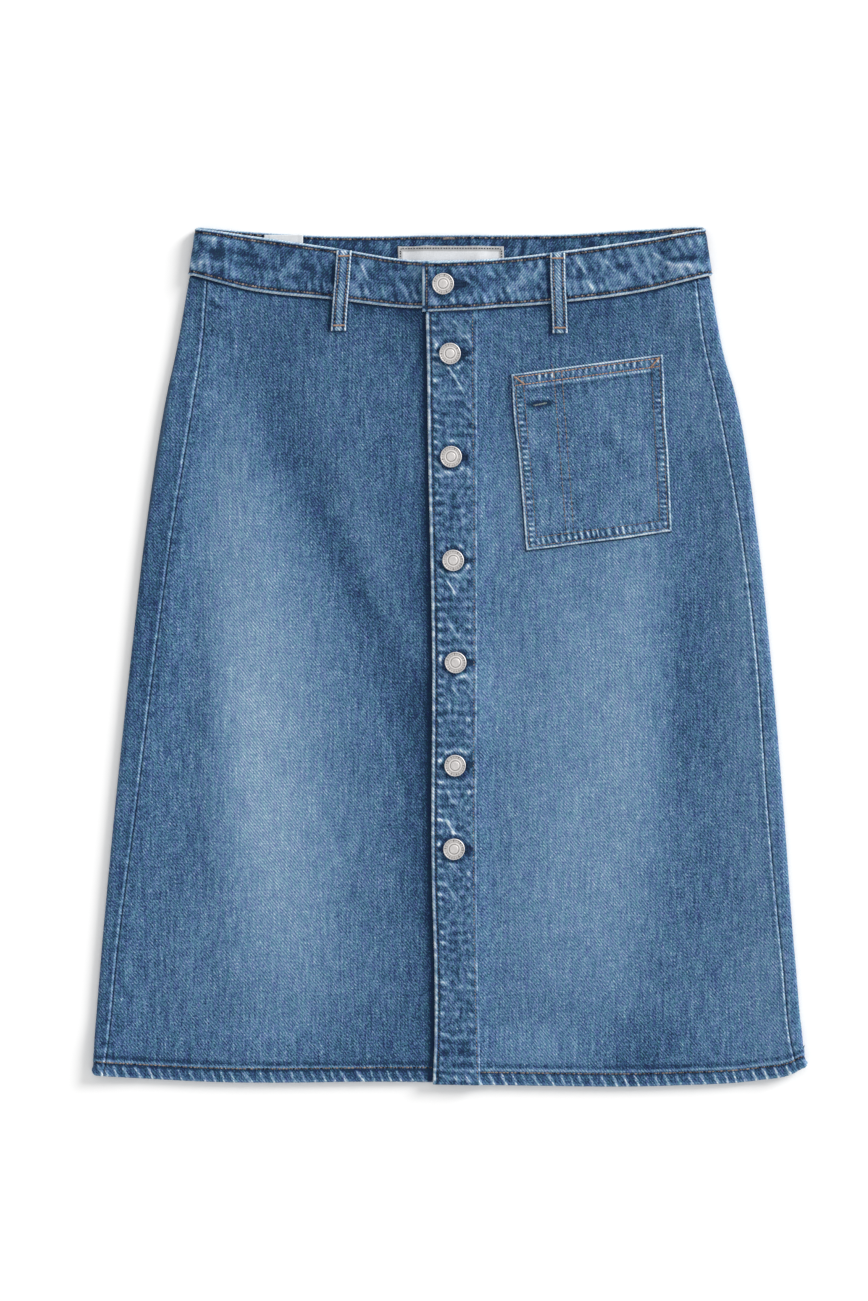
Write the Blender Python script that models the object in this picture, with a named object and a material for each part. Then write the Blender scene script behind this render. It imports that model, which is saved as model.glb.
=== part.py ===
"""A button-front denim skirt laid flat on its back.

+X runs to the viewer's right of the laid skirt, +Y from hem to waist and +Z up, with the origin under
the middle of its outline on the surface. The cloth lies in layers: the back on the surface, the fronts
on the back, and the placket, pocket, belt loops and buttons on the fronts. Every layer is a grid of
points with an outer and an inner side. Grids share their rows, so that a piece which lies on another
follows it, moved out. All sizes are in metres.
"""

import math
from collections import namedtuple

import bmesh
import bpy
import numpy as np

# Thickness of the cloth and the room between pieces.
DENIM = 0.0010
HEM_CLOTH = 0.0024
STRIP = 0.0012
LOOP = 0.0016
POCKET_HEM = 0.0018
LABEL = 0.0009
BAND = 0.0024
GAP = 0.0003
LIE = 0.0004

# Lengths and reaches of the cut.
PANEL_LENGTH = 0.610
HEM_HEIGHT = 0.0170
HEM_STEP = 0.0015
LEFT_HEM_SHORT = 0.0019
BACK_HEM_SHORT = 0.0010
STAND_EXTRA = 0.0008
STAND_EXTRA_AT_HEM = 0.0003
STAND_STEP = (0.0015, 0.0035)
STAND_END = 0.0180
OVERLAP_END = 0.0360
OVER_DROP_AT_SEAM = 0.0032
OVER_DROP_AT_TOP = 0.0009
OVER_DROP_REACH = (0.0100, 0.0450)

# How the layers settle on each other.
FOLD_HEIGHT = 0.0059
FOLD_HEIGHT_AT_HEM = 0.0080
BAND_FOLD_HEIGHT = 0.0080
FOLD_INSET = 0.0040
SIDE_SETTLE = 0.0500
WAIST_SUPPORT = 0.0026
WAIST_SETTLE = 0.0450
WAIST_STEP = 0.0006
WAIST_STEP_REACH = 0.0120
HEM_SETTLE = 0.0345
BAND_ROOM = LABEL + 2 * GAP

# The waistband's two ends at the centre front.
BAND_OVER_END = -0.0212
BAND_UNDER_END = 0.0165
BAND_OVERLAP_END = 0.0385
BAND_SHARES = (0.0, 0.12, 0.5, 0.88, 1.0)

# Belt loops. The back ones lift the layers above them.
LOOP_WIDTH = 0.0117
LOOP_LENGTH = 0.0620
LOOP_SLACK = 0.0010
LOOP_STEPS_ON_BAND = (0.0, 0.25, 0.5, 0.75)
LOOP_STEPS_BELOW = (0.006, 0.012)
BACK_LOOP_TOP = 0.0008
LIFT = LOOP + GAP
LIFT_RAMP = 0.0140
LIFT_FULL_ABOVE = 0.2620
LIFT_NONE_BELOW = 0.2450

# Buttons and their holes.
BUTTON_RADIUS = 0.00865
BUTTON_NECK = 0.0023
BUTTON_SEGMENTS = 20
EYELET_RADIUS = 0.0028
EYELET_SEGMENTS = 10
SLIT_WIDTH = 0.0010
PLACKET_SLIT_END = 0.0172
BAND_SLIT_END = 0.0142
CUT_HEIGHT = 0.0120

SMOOTH_ANGLE = math.radians(40)
PLAIN_COLUMNS = (-0.130, -0.100, -0.067, 0.067, 0.100, 0.130)
SEAM_COLUMNS = (0.0, 0.33, 0.66, 1.0)
LEFT_COLUMNS = (0.17, 0.34, 0.51, 0.67, 0.83, 0.98)
RIGHT_COLUMNS = (0.2, 0.4, 0.6, 0.8, 1.0)
FOLD_ANGLES = tuple(math.radians(a) for a in (60, 30, 0, -30, -60))

# The outline by height: both edges of the laid skirt and how far the side seams lie inside them.
SideRow = namedtuple("SideRow", "height left left_inset right_inset right")
SIDES = (
    SideRow(0.2964, -0.2017, 0.0140, 0.0105, 0.2017),
    SideRow(0.2530, -0.2090, 0.0181, 0.0120, 0.2087),
    SideRow(0.1910, -0.2214, 0.0214, 0.0132, 0.2234),
    SideRow(0.0980, -0.2354, 0.0202, 0.0105, 0.2374),
    SideRow(0.0050, -0.2462, 0.0183, 0.0093, 0.2475),
    SideRow(-0.1112, -0.2586, 0.0163, 0.0108, 0.2575),
    SideRow(-0.2275, -0.2695, 0.0120, 0.0085, 0.2664),
    SideRow(-0.3050, -0.2757, 0.0105, 0.0078, 0.2747),
    SideRow(-0.3243, -0.2772, 0.0093, 0.0070, 0.2789),
)

# The hem line from side to side.
HemRow = namedtuple("HemRow", "x height")
HEM = (
    HemRow(-0.2772, -0.3243),
    HemRow(-0.2480, -0.3263),
    HemRow(-0.2013, -0.3290),
    HemRow(-0.0153, -0.3313),
    HemRow(0.0545, -0.3325),
    HemRow(0.1707, -0.3326),
    HemRow(0.2405, -0.3282),
    HemRow(0.2637, -0.3239),
    HemRow(0.2772, -0.3166),
)

# Where the panels meet the waistband, and the waistband's top edge, on the front and on the back.
WaistRow = namedtuple("WaistRow", "x front_seam front_top back_seam back_top")
WAIST = (
    WaistRow(-0.2032, 0.2958, 0.3323, 0.2962, 0.3336),
    WaistRow(-0.1548, 0.2834, 0.3259, 0.2909, 0.3294),
    WaistRow(-0.0928, 0.2765, 0.3170, 0.2868, 0.3261),
    WaistRow(-0.0215, 0.2694, 0.3066, 0.2866, 0.3266),
    WaistRow(0.0100, 0.2706, 0.3071, 0.2867, 0.3268),
    WaistRow(0.0450, 0.2706, 0.3090, 0.2869, 0.3270),
    WaistRow(0.0855, 0.2738, 0.3137, 0.2872, 0.3273),
    WaistRow(0.1475, 0.2819, 0.3226, 0.2898, 0.3311),
    WaistRow(0.2033, 0.2951, 0.3318, 0.2962, 0.3336),
)
BandEdge = namedtuple("BandEdge", "share left right")
BAND_EDGES = (BandEdge(0.0, -0.2028, 0.2037), BandEdge(1.0, -0.1970, 0.1980))

# The overlapping front edge and the placket's other edge, by height.
EdgeRow = namedtuple("EdgeRow", "height over placket_right")
FRONT_EDGE = (
    EdgeRow(0.2654, -0.0181, 0.0215),
    EdgeRow(0.2300, -0.0173, 0.0214),
    EdgeRow(0.1680, -0.0165, 0.0212),
    EdgeRow(0.0050, -0.0133, 0.0212),
    EdgeRow(-0.1600, -0.0137, 0.0208),
    EdgeRow(-0.2660, -0.0113, 0.0222),
    EdgeRow(-0.2980, -0.0115, 0.0231),
    EdgeRow(-0.3320, -0.0129, 0.0239),
)

Corner = namedtuple("Corner", "x y")
POCKET = {
    "top_left": Corner(0.0478, 0.2182),
    "top_right": Corner(0.1645, 0.2337),
    "bottom_left": Corner(0.0599, 0.0825),
    "bottom_right": Corner(0.1715, 0.0973),
}
POCKET_ACROSS = 8
POCKET_DOWN = (0.0, 0.09, 0.10, 0.25, 0.45, 0.65, 0.85, 1.0)
POCKET_HEM_ENDS = 0.095

# A back loop's place, and how far to each side of it the cloth above stays level.
BackLoop = namedtuple("BackLoop", "name x level")
BACK_LOOPS = (
    BackLoop("belt_loop_back_left", -0.1808, 0.0065),
    BackLoop("belt_loop_back", 0.0, 0.0200),
    BackLoop("belt_loop_back_right", 0.1808, 0.0065),
)

FrontLoop = namedtuple("FrontLoop", "name top_x bottom_x")
FRONT_LOOPS = (
    FrontLoop("belt_loop_front_left", -0.0815, -0.0862),
    FrontLoop("belt_loop_front_right", 0.0832, 0.0855),
)

ButtonPlace = namedtuple("ButtonPlace", "x y")
WAIST_BUTTON = ButtonPlace(-0.0052, 0.2879)
PLACKET_BUTTONS = (
    ButtonPlace(0.0002, 0.2344),
    ButtonPlace(0.0010, 0.1546),
    ButtonPlace(0.0026, 0.0744),
    ButtonPlace(0.0045, -0.0047),
    ButtonPlace(0.0041, -0.0845),
    ButtonPlace(0.0033, -0.1492),
)

LabelBox = namedtuple("LabelBox", "name left right top height")
LABELS = (
    LabelBox("main_label", -0.0401, 0.0421, 0.3181, 0.0300),
    LabelBox("side_label", -0.1439, -0.1137, 0.3270, 0.0180),
)

# A button's turned profile, by distance from its axis and height over the cloth.
ProfileRow = namedtuple("ProfileRow", "radius height")
BUTTON_CAP = (
    ProfileRow(BUTTON_NECK, 0.0004),
    ProfileRow(0.0074, 0.0004),
    ProfileRow(BUTTON_RADIUS, 0.0012),
    ProfileRow(0.0085, 0.0021),
    ProfileRow(0.0078, 0.0025),
    ProfileRow(0.0071, 0.0021),
    ProfileRow(0.0047, 0.0022),
    ProfileRow(0.0042, 0.0027),
    ProfileRow(0.0034, 0.0027),
    ProfileRow(0.0029, 0.0024),
)
BUTTON_TOP = 0.0028

Colour = namedtuple("Colour", "red green blue roughness metallic")
DENIM_BLUE = Colour(0.115, 0.215, 0.380, 0.90, 0.0)
DENIM_DARK = Colour(0.060, 0.120, 0.250, 0.90, 0.0)
LABEL_WHITE = Colour(0.780, 0.790, 0.800, 0.80, 0.0)
BUTTON_METAL = Colour(0.720, 0.690, 0.660, 0.35, 1.0)


def curve(rows, at, column):
    """A function that runs smoothly through the rows' values of one column."""
    points = sorted((getattr(row, at), getattr(row, column)) for row in rows)
    places, values = np.array(points).T
    slopes = np.gradient(values, places)

    def value(place):
        place = np.clip(place, places[0], places[-1])
        k = np.clip(np.searchsorted(places, place, side="right") - 1, 0, len(places) - 2)
        span = places[k + 1] - places[k]
        t = (place - places[k]) / span
        start = values[k] * (1 + 2 * t) * (1 - t) ** 2 + slopes[k] * span * t * (1 - t) ** 2
        end = values[k + 1] * t**2 * (3 - 2 * t) + slopes[k + 1] * span * t**2 * (t - 1)
        return start + end

    return value


left_edge = curve(SIDES, "height", "left")
right_edge = curve(SIDES, "height", "right")
left_inset = curve(SIDES, "height", "left_inset")
right_inset = curve(SIDES, "height", "right_inset")
hem_line = curve(HEM, "x", "height")
front_seam = curve(WAIST, "x", "front_seam")
front_top = curve(WAIST, "x", "front_top")
back_seam = curve(WAIST, "x", "back_seam")
back_top = curve(WAIST, "x", "back_top")
over_edge = curve(FRONT_EDGE, "height", "over")
placket_right = curve(FRONT_EDGE, "height", "placket_right")
band_left = curve(BAND_EDGES, "share", "left")
band_right = curve(BAND_EDGES, "share", "right")


def mix(a, b, share):
    return a + (b - a) * share


def fade(distance, start, end):
    """1 up to start, 0 from end, and a smooth fall between them."""
    t = np.clip((distance - start) / (end - start), 0.0, 1.0)
    return 0.5 + 0.5 * np.cos(math.pi * t)


def ramp(distance, start, end):
    """1 up to start, 0 from end, and a straight fall between them."""
    return float(np.clip((end - distance) / (end - start), 0.0, 1.0))


def lift(x, y):
    """How far the belt loops underneath raise the cloth."""
    across = max(ramp(abs(x - loop.x), loop.level, loop.level + LIFT_RAMP) for loop in BACK_LOOPS)
    down = ramp(LIFT_FULL_ABOVE - y, 0.0, LIFT_FULL_ABOVE - LIFT_NONE_BELOW)
    return LIFT * across * down


# A row of a panel is a share of the way down it, from the waistband seam at 0 to the hem line at 1.
ROW_DISTANCES = (
    0.0,
    WAIST_STEP_REACH,
    0.026,
    WAIST_SETTLE,
    *np.linspace(0.090, 0.540, 9),
    PANEL_LENGTH - HEM_HEIGHT - HEM_SETTLE,
    PANEL_LENGTH - HEM_HEIGHT - 0.5 * HEM_SETTLE,
    PANEL_LENGTH - HEM_HEIGHT - HEM_STEP,
    PANEL_LENGTH - HEM_HEIGHT,
    PANEL_LENGTH,
)
ROWS = tuple(distance / PANEL_LENGTH for distance in ROW_DISTANCES)


def waist_support(row):
    return float(fade(row * PANEL_LENGTH, 0.0, WAIST_SETTLE))


def hem_support(row):
    return float(fade((1 - row) * PANEL_LENGTH, HEM_HEIGHT, HEM_HEIGHT + HEM_SETTLE))


def hem_turned(row):
    """1 where the hem is turned up, 0 above it."""
    return ramp((1 - row) * PANEL_LENGTH, HEM_HEIGHT, HEM_HEIGHT + HEM_STEP)


def row_edges(row):
    """The left and right edge of the laid skirt on this row."""
    left_y = mix(SIDES[0].height, HEM[0].height, row)
    right_y = mix(SIDES[0].height, HEM[-1].height, row)
    return float(left_edge(left_y)), float(right_edge(right_y))


def row_seams(row):
    """The left and right side seam on this row, where back and front meet."""
    left_y = mix(SIDES[0].height, HEM[0].height, row)
    right_y = mix(SIDES[0].height, HEM[-1].height, row)
    left, right = row_edges(row)
    return left + float(left_inset(left_y)), right - float(right_inset(right_y))


def row_of(x, y):
    """The row that passes through a place on the front."""
    return float((front_seam(x) - y) / (front_seam(x) - hem_line(x)))


def front_y(x, row):
    return float(mix(front_seam(x), hem_line(x), row))


def over_drop(x):
    """How much lower the overlapping front sits than the one under it, from none to full."""
    return float(fade(x, *OVER_DROP_REACH))


def over_y(x, row):
    return front_y(x, row) - OVER_DROP_AT_SEAM * over_drop(x) * (1 - row)


def back_y(x, row):
    return float(mix(back_seam(x), hem_line(x) + BACK_HEM_SHORT, row))


def fold_height(row):
    return mix(FOLD_HEIGHT, FOLD_HEIGHT_AT_HEM, hem_support(row))


def front_surface(x, row):
    """Height of the outer side of a single front layer, without the lift."""
    base = DENIM + LIE + DENIM
    base += WAIST_SUPPORT * waist_support(row) + 2 * (HEM_CLOTH - DENIM) * hem_support(row)
    left, right = row_edges(row)
    inside = min(x - left, right - x)
    return base + (fold_height(row) - base) * float(fade(inside, FOLD_INSET, SIDE_SETTLE))


def stand_extra(row):
    return mix(STAND_EXTRA, STAND_EXTRA_AT_HEM, hem_support(row))


def over_rise(x, row):
    """How far the overlapping front rises over the button stand."""
    return float(fade(x, STAND_END, OVERLAP_END)) * (stand_extra(row) + GAP + DENIM)


def cloth_thickness(row):
    return mix(DENIM, HEM_CLOTH, hem_turned(row))


def material(name, colour):
    made = bpy.data.materials.new(name)
    made.use_nodes = True
    shader = made.node_tree.nodes["Principled BSDF"]
    shader.inputs["Base Color"].default_value = (colour.red, colour.green, colour.blue, 1.0)
    shader.inputs["Roughness"].default_value = colour.roughness
    shader.inputs["Metallic"].default_value = colour.metallic
    return made


def add_object(name, form, colour):
    """Makes an object of a bmesh, with its faces turned outward and its own material."""
    bmesh.ops.recalc_face_normals(form, faces=form.faces)
    mesh = bpy.data.meshes.new(name)
    form.to_mesh(mesh)
    form.free()
    mesh.shade_smooth()
    mesh.set_sharp_from_angle(angle=SMOOTH_ANGLE)
    made = bpy.data.objects.new(name, mesh)
    mesh.materials.append(material(name, colour))
    bpy.context.scene.collection.objects.link(made)
    return made


def cloth(name, outer, inner, colour=DENIM_BLUE):
    """A wall of cloth between two grids of points, closed all round its edge."""
    form = bmesh.new()
    count_rows = len(outer)
    count_columns = len(outer[0])
    sides = []
    for grid in (outer, inner):
        raised = [[(x, y, z + lift(x, y)) for x, y, z in row] for row in grid]
        sides.append([[form.verts.new(point) for point in row] for row in raised])
    for side in sides:
        for r in range(count_rows - 1):
            for c in range(count_columns - 1):
                form.faces.new((side[r][c], side[r][c + 1], side[r + 1][c + 1], side[r + 1][c]))
    top = [(0, c) for c in range(count_columns)]
    right = [(r, count_columns - 1) for r in range(1, count_rows)]
    bottom = [(count_rows - 1, c) for c in range(count_columns - 2, -1, -1)]
    left = [(r, 0) for r in range(count_rows - 2, 0, -1)]
    rim = top + right + bottom + left
    for (r0, c0), (r1, c1) in zip(rim, rim[1:] + rim[:1], strict=True):
        form.faces.new((sides[0][r0][c0], sides[0][r1][c1], sides[1][r1][c1], sides[1][r0][c0]))
    return add_object(name, form, colour)


def fold_points(edge, sign, low, high, thickness, y_high, y_low):
    """The side fold from its upper end to its lower end: an outer and an inner half ellipse."""
    middle = 0.5 * (low + high)
    reach = 0.5 * (high - low)
    centre = edge - sign * FOLD_INSET
    outer = []
    inner = []
    for angle in FOLD_ANGLES:
        y = mix(y_low, y_high, 0.5 + 0.5 * math.sin(angle))
        x_share = sign * math.cos(angle)
        z_share = math.sin(angle)
        outer.append((centre + x_share * FOLD_INSET, y, middle + z_share * reach))
        x_inner = centre + x_share * (FOLD_INSET - thickness)
        inner.append((x_inner, y, middle + z_share * (reach - thickness)))
    return outer, inner


def wrapped_row(section):
    """One row of a piece that folds round both sides of the laid skirt."""
    outer = []
    inner = []

    def flat(columns, surface, y_at, inward):
        for x in columns:
            z = surface(x)
            outer.append((x, y_at(x), z))
            inner.append((x, y_at(x), z + inward * section.thickness))

    def folded(edge, sign, surface, reverse):
        top_x = edge - sign * FOLD_INSET
        y_high = section.y_left(top_x)
        y_low = section.y_back(top_x)
        high = surface(top_x)
        points = fold_points(edge, sign, section.low, high, section.thickness, y_high, y_low)
        for found, side in zip((outer, inner), points, strict=True):
            found.extend(reversed(side) if reverse else side)

    flat(section.left_columns, section.left_surface, section.y_left, -1)
    folded(section.left, -1, section.left_surface, False)
    flat(section.back_columns, lambda x: section.low, section.y_back, 1)
    folded(section.right, 1, section.right_surface, True)
    flat(section.right_columns, section.right_surface, section.y_right, -1)
    return outer, inner


Section = namedtuple(
    "Section",
    "left right low thickness left_surface right_surface y_left y_right y_back left_columns"
    " back_columns right_columns",
)


def lift_bends():
    """Where the cloth over the back loops bends, from left to right."""
    reaches = (-1, 1)
    bends = [loop.x + side * loop.level for loop in BACK_LOOPS for side in reaches]
    bends += [loop.x + side * (loop.level + LIFT_RAMP) for loop in BACK_LOOPS for side in reaches]
    return sorted(bends)


def loop_columns(edge_left, edge_right):
    """Places across the back, with one on every bend over a belt loop, out to both folds."""
    within = [x for x in lift_bends() if edge_left + 1.5 * FOLD_INSET < x < edge_right - 1.5 * FOLD_INSET]
    return sorted([edge_left + FOLD_INSET, *within, *PLAIN_COLUMNS, edge_right - FOLD_INSET])


def back_columns(row):
    """The back panel's places across one row. Those by its folds spread with its width."""
    top_left, top_right = row_edges(0.0)
    left, right = row_edges(row)
    columns = loop_columns(top_left, top_right)
    outermost = columns[-2]
    for k, x in enumerate(columns):
        if x < -outermost:
            columns[k] = left + FOLD_INSET
        elif x > outermost:
            columns[k] = right - FOLD_INSET
    return columns


def back_section(row):
    left, right = row_edges(row)
    left_seam, right_seam = row_seams(row)
    low = WAIST_STEP * ramp(row * PANEL_LENGTH, 0.0, WAIST_STEP_REACH)

    def surface(x):
        return front_surface(x, row)

    return Section(
        left=left,
        right=right,
        low=low,
        thickness=cloth_thickness(row),
        left_surface=surface,
        right_surface=surface,
        y_left=lambda x: front_y(x, row),
        y_right=lambda x: front_y(x, row),
        y_back=lambda x: back_y(x, row),
        left_columns=[mix(left_seam, left + FOLD_INSET, t) for t in (0, 0.5, 1)],
        back_columns=back_columns(row),
        right_columns=[mix(right - FOLD_INSET, right_seam, t) for t in (0, 0.5, 1)],
    )


def add_back_panel():
    rows = [wrapped_row(back_section(row)) for row in ROWS]
    cloth("back_panel", [outer for outer, _ in rows], [inner for _, inner in rows])


def band_surface(x, share):
    """Height of the outer side of the front waistband, where it lies single."""
    base = BAND + BAND_ROOM + BAND
    left = float(band_left(share))
    right = float(band_right(share))
    inside = min(x - left, right - x)
    return base + (BAND_FOLD_HEIGHT - base) * float(fade(inside, FOLD_INSET, SIDE_SETTLE))


def band_over_surface(x, share):
    """Height of the outer side of the waistband's upper end and of what follows it."""
    return band_surface(x, share) + (BAND + GAP) * float(fade(x, BAND_UNDER_END, BAND_OVERLAP_END))


def band_section(share):
    left = float(band_left(share))
    right = float(band_right(share))
    places = [*loop_columns(left, right), 0.5 * (BAND_UNDER_END + BAND_OVERLAP_END), BAND_OVERLAP_END]
    under = sorted([x for x in places if x < BAND_UNDER_END - GAP] + [BAND_UNDER_END], reverse=True)
    over_places = [x for x in places if x > BAND_OVER_END + GAP]
    over = sorted([*over_places, BAND_UNDER_END, BAND_OVER_END], reverse=True)

    def y_left(x):
        return float(mix(front_seam(x) + GAP, front_top(x), share))

    def y_right(x):
        return y_left(x) - mix(OVER_DROP_AT_SEAM, OVER_DROP_AT_TOP, share) * over_drop(x)

    def y_back(x):
        return float(mix(back_seam(x) + GAP, back_top(x), share))

    return Section(
        left=left,
        right=right,
        low=0.0,
        thickness=BAND,
        left_surface=lambda x: band_surface(x, share),
        right_surface=lambda x: band_over_surface(x, share),
        y_left=y_left,
        y_right=y_right,
        y_back=y_back,
        left_columns=under,
        back_columns=loop_columns(left, right),
        right_columns=over,
    )


def add_waistband():
    rows = [wrapped_row(band_section(share)) for share in BAND_SHARES]
    return cloth("waistband", [outer for outer, _ in rows], [inner for _, inner in rows])


def overlap_columns(over):
    """Places across the overlap, shared by every piece that lies in it."""
    first = over + STAND_STEP[1]
    return [first, mix(first, STAND_END, 1 / 3), mix(first, STAND_END, 2 / 3), STAND_END]


def over_x(row):
    return float(over_edge(front_y(0.0, row)))


def add_front_left_panel():
    outer = []
    inner = []
    for row in ROWS:
        seam = row_seams(row)[0] + GAP
        settled = row_edges(row)[0] + SIDE_SETTLE
        over = over_x(row)
        columns = [mix(seam, settled, t) for t in SEAM_COLUMNS]
        columns += [mix(settled, over, t) for t in LEFT_COLUMNS]
        columns += [over + STAND_STEP[0], *overlap_columns(over)]
        top = []
        bottom = []
        for x in columns:
            z = front_surface(x, row)
            y = front_y(x, row)
            if row == 1:
                y += LEFT_HEM_SHORT * float(fade(-x, -over, SIDE_SETTLE * 4))
            bottom.append((x, y, z - cloth_thickness(row)))
            stand = 1 - ramp(x - over, *STAND_STEP)
            top.append((x, y, z + stand * stand_extra(row)))
        outer.append(top)
        inner.append(bottom)
    cloth("front_left_panel", outer, inner)


def over_surface(x, row):
    """Height of the outer side of the overlapping front."""
    return front_surface(x, row) + over_rise(x, row)


def add_front_right_panel():
    outer = []
    inner = []
    for row in ROWS:
        seam = row_seams(row)[1] - GAP
        settled = row_edges(row)[1] - SIDE_SETTLE
        over = over_x(row)
        placket_end = float(placket_right(front_y(0.0, row)))
        columns = [over + DENIM, *overlap_columns(over), placket_end]
        columns += [mix(placket_end, OVERLAP_END, 0.5), OVERLAP_END]
        columns += [mix(OVERLAP_END, settled, t) for t in RIGHT_COLUMNS]
        columns += [mix(settled, seam, t) for t in SEAM_COLUMNS[1:]]
        top = []
        bottom = []
        for x in columns:
            z = over_surface(x, row)
            y = over_y(x, row)
            single = float(fade(x, STAND_END, OVERLAP_END))
            thickness = mix(cloth_thickness(row), DENIM, single)
            top.append((x, y, z))
            bottom.append((x, y, z - thickness))
        outer.append(top)
        inner.append(bottom)
    return cloth("front_right_panel", outer, inner)


def add_placket():
    outer = []
    inner = []
    for row in ROWS:
        over = over_x(row)
        placket_end = float(placket_right(front_y(0.0, row)))
        columns = [over, *overlap_columns(over), placket_end]
        under = [(x, over_y(x, row), over_surface(x, row) + GAP) for x in columns]
        inner.append(under)
        outer.append([(x, y, z + STRIP) for x, y, z in under])
    return cloth("button_placket", outer, inner)


def pocket_place(across, down):
    """A place on the pocket by shares of its width and depth."""
    top = [mix(a, b, across) for a, b in zip(POCKET["top_left"], POCKET["top_right"], strict=True)]
    low = [mix(a, b, across) for a, b in zip(POCKET["bottom_left"], POCKET["bottom_right"], strict=True)]
    return mix(top[0], low[0], down), mix(top[1], low[1], down)


def add_pocket():
    outer = []
    inner = []
    for down in POCKET_DOWN:
        thickness = POCKET_HEM if down < POCKET_HEM_ENDS else DENIM
        under = []
        for k in range(POCKET_ACROSS + 1):
            x, y = pocket_place(k / POCKET_ACROSS, down)
            under.append((x, y, over_surface(x, row_of(x, y)) + GAP))
        inner.append(under)
        outer.append([(x, y, z + thickness) for x, y, z in under])
    cloth("patch_pocket", outer, inner)


def add_front_loop(loop):
    """A strip over the waistband, slack in its middle, that ends on the panel below."""
    top_y = float(front_top(loop.top_x))
    seam_y = float(front_seam(loop.bottom_x))
    on_band = top_y - seam_y
    steps = (*(share * on_band for share in LOOP_STEPS_ON_BAND), on_band + 2 * GAP)
    below = (*(on_band + step for step in LOOP_STEPS_BELOW), LOOP_LENGTH)
    outer = []
    inner = []
    for down in (*steps, *below):
        share = down / LOOP_LENGTH
        middle = mix(loop.top_x, loop.bottom_x, share)
        y = top_y - down
        slack = LOOP_SLACK * math.sin(math.pi * share)
        band = band_surface(middle, 0.0)
        if down < below[0]:
            rest = band
        else:
            panel = front_surface(middle, row_of(middle, y))
            falling = ramp(down, below[0], LOOP_LENGTH)
            rest = mix(panel, max(panel, band - BAND / 2), falling)
        z = rest + GAP + slack
        under = [(middle + side * LOOP_WIDTH, y, z) for side in (-0.5, 0, 0.5)]
        inner.append(under)
        outer.append([(x, y, z + LOOP) for x, y, z in under])
    cloth(loop.name, outer, inner)


def add_back_loop(loop):
    """A strip pressed flat between the surface and the back."""
    form = bmesh.new()
    top_y = float(back_top(loop.x)) - BACK_LOOP_TOP
    bmesh.ops.create_grid(form, x_segments=2, y_segments=6, size=0.5)
    for vert in form.verts:
        vert.co.x = loop.x + vert.co.x * LOOP_WIDTH
        vert.co.y = top_y + (vert.co.y - 0.5) * LOOP_LENGTH
    walls = bmesh.ops.extrude_face_region(form, geom=form.faces[:])
    raised = [item for item in walls["geom"] if isinstance(item, bmesh.types.BMVert)]
    bmesh.ops.translate(form, verts=raised, vec=(0, 0, LOOP))
    add_object(loop.name, form, DENIM_BLUE)


def add_label(box):
    """A blank label on the inner side of the back waistband."""
    columns = [box.left, *(x for x in lift_bends() if box.left < x < box.right), box.right]
    inner = [[(x, box.top - box.height * t, BAND + GAP) for x in columns] for t in (0, 0.5, 1)]
    outer = [[(x, y, z + LABEL) for x, y, z in row] for row in inner]
    cloth(box.name, outer, inner, LABEL_WHITE)


def highest(surface, place, reach):
    """The highest a sloping layer gets within this reach of a button's middle."""
    return max(surface(place.x, row_of(place.x, place.y + step)) for step in (-reach, 0.0, reach))


def placket_surface(place):
    return highest(over_surface, place, BUTTON_RADIUS) + GAP + STRIP


def stand_surface(place):
    return highest(lambda x, row: front_surface(x, row) + stand_extra(row), place, BUTTON_NECK)


def add_button(name, place, surface, foot):
    """A turned cap on a neck that goes down through its buttonhole to the layer underneath."""
    form = bmesh.new()
    height = surface + lift(place.x, place.y)
    low = foot + GAP + lift(place.x, place.y)
    profile = [(0.0, low), (BUTTON_NECK, low)]
    profile += [(step.radius, height + step.height) for step in BUTTON_CAP]
    profile += [(0.0, height + BUTTON_TOP)]
    verts = [form.verts.new((place.x + radius, place.y, z)) for radius, z in profile]
    edges = [form.edges.new(pair) for pair in zip(verts, verts[1:], strict=False)]
    bmesh.ops.spin(
        form,
        geom=verts + edges,
        cent=(place.x, place.y, 0),
        axis=(0, 0, 1),
        angle=math.tau,
        steps=BUTTON_SEGMENTS,
    )
    bmesh.ops.remove_doubles(form, verts=form.verts, dist=1e-5)
    add_object(name, form, BUTTON_METAL)


def keyhole(form, place, slit_end, low):
    """A closed prism with the outline of a keyhole buttonhole: an eyelet and a slit."""
    half = 0.5 * SLIT_WIDTH
    turn = math.asin(half / EYELET_RADIUS)
    outline = []
    for k in range(EYELET_SEGMENTS + 1):
        angle = turn + (math.tau - 2 * turn) * k / EYELET_SEGMENTS
        outline.append((place.x + EYELET_RADIUS * math.cos(angle), place.y + EYELET_RADIUS * math.sin(angle)))
    outline += [(slit_end, place.y - half), (slit_end, place.y + half)]
    face = form.faces.new([form.verts.new((x, y, low)) for x, y in outline])
    made = bmesh.ops.extrude_face_region(form, geom=[face])
    raised = [item for item in made["geom"] if isinstance(item, bmesh.types.BMVert)]
    bmesh.ops.translate(form, verts=raised, vec=(0, 0, CUT_HEIGHT))


def add_cutter(name, holes):
    form = bmesh.new()
    for place, slit_end, low in holes:
        keyhole(form, place, slit_end, low)
    cutter = add_object(name, form, DENIM_DARK)
    cutter.hide_render = True
    cutter.display_type = "WIRE"
    return cutter


def cut(piece, cutter):
    modifier = piece.modifiers.new("buttonholes", "BOOLEAN")
    modifier.operation = "DIFFERENCE"
    modifier.solver = "EXACT"
    modifier.object = cutter


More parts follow.
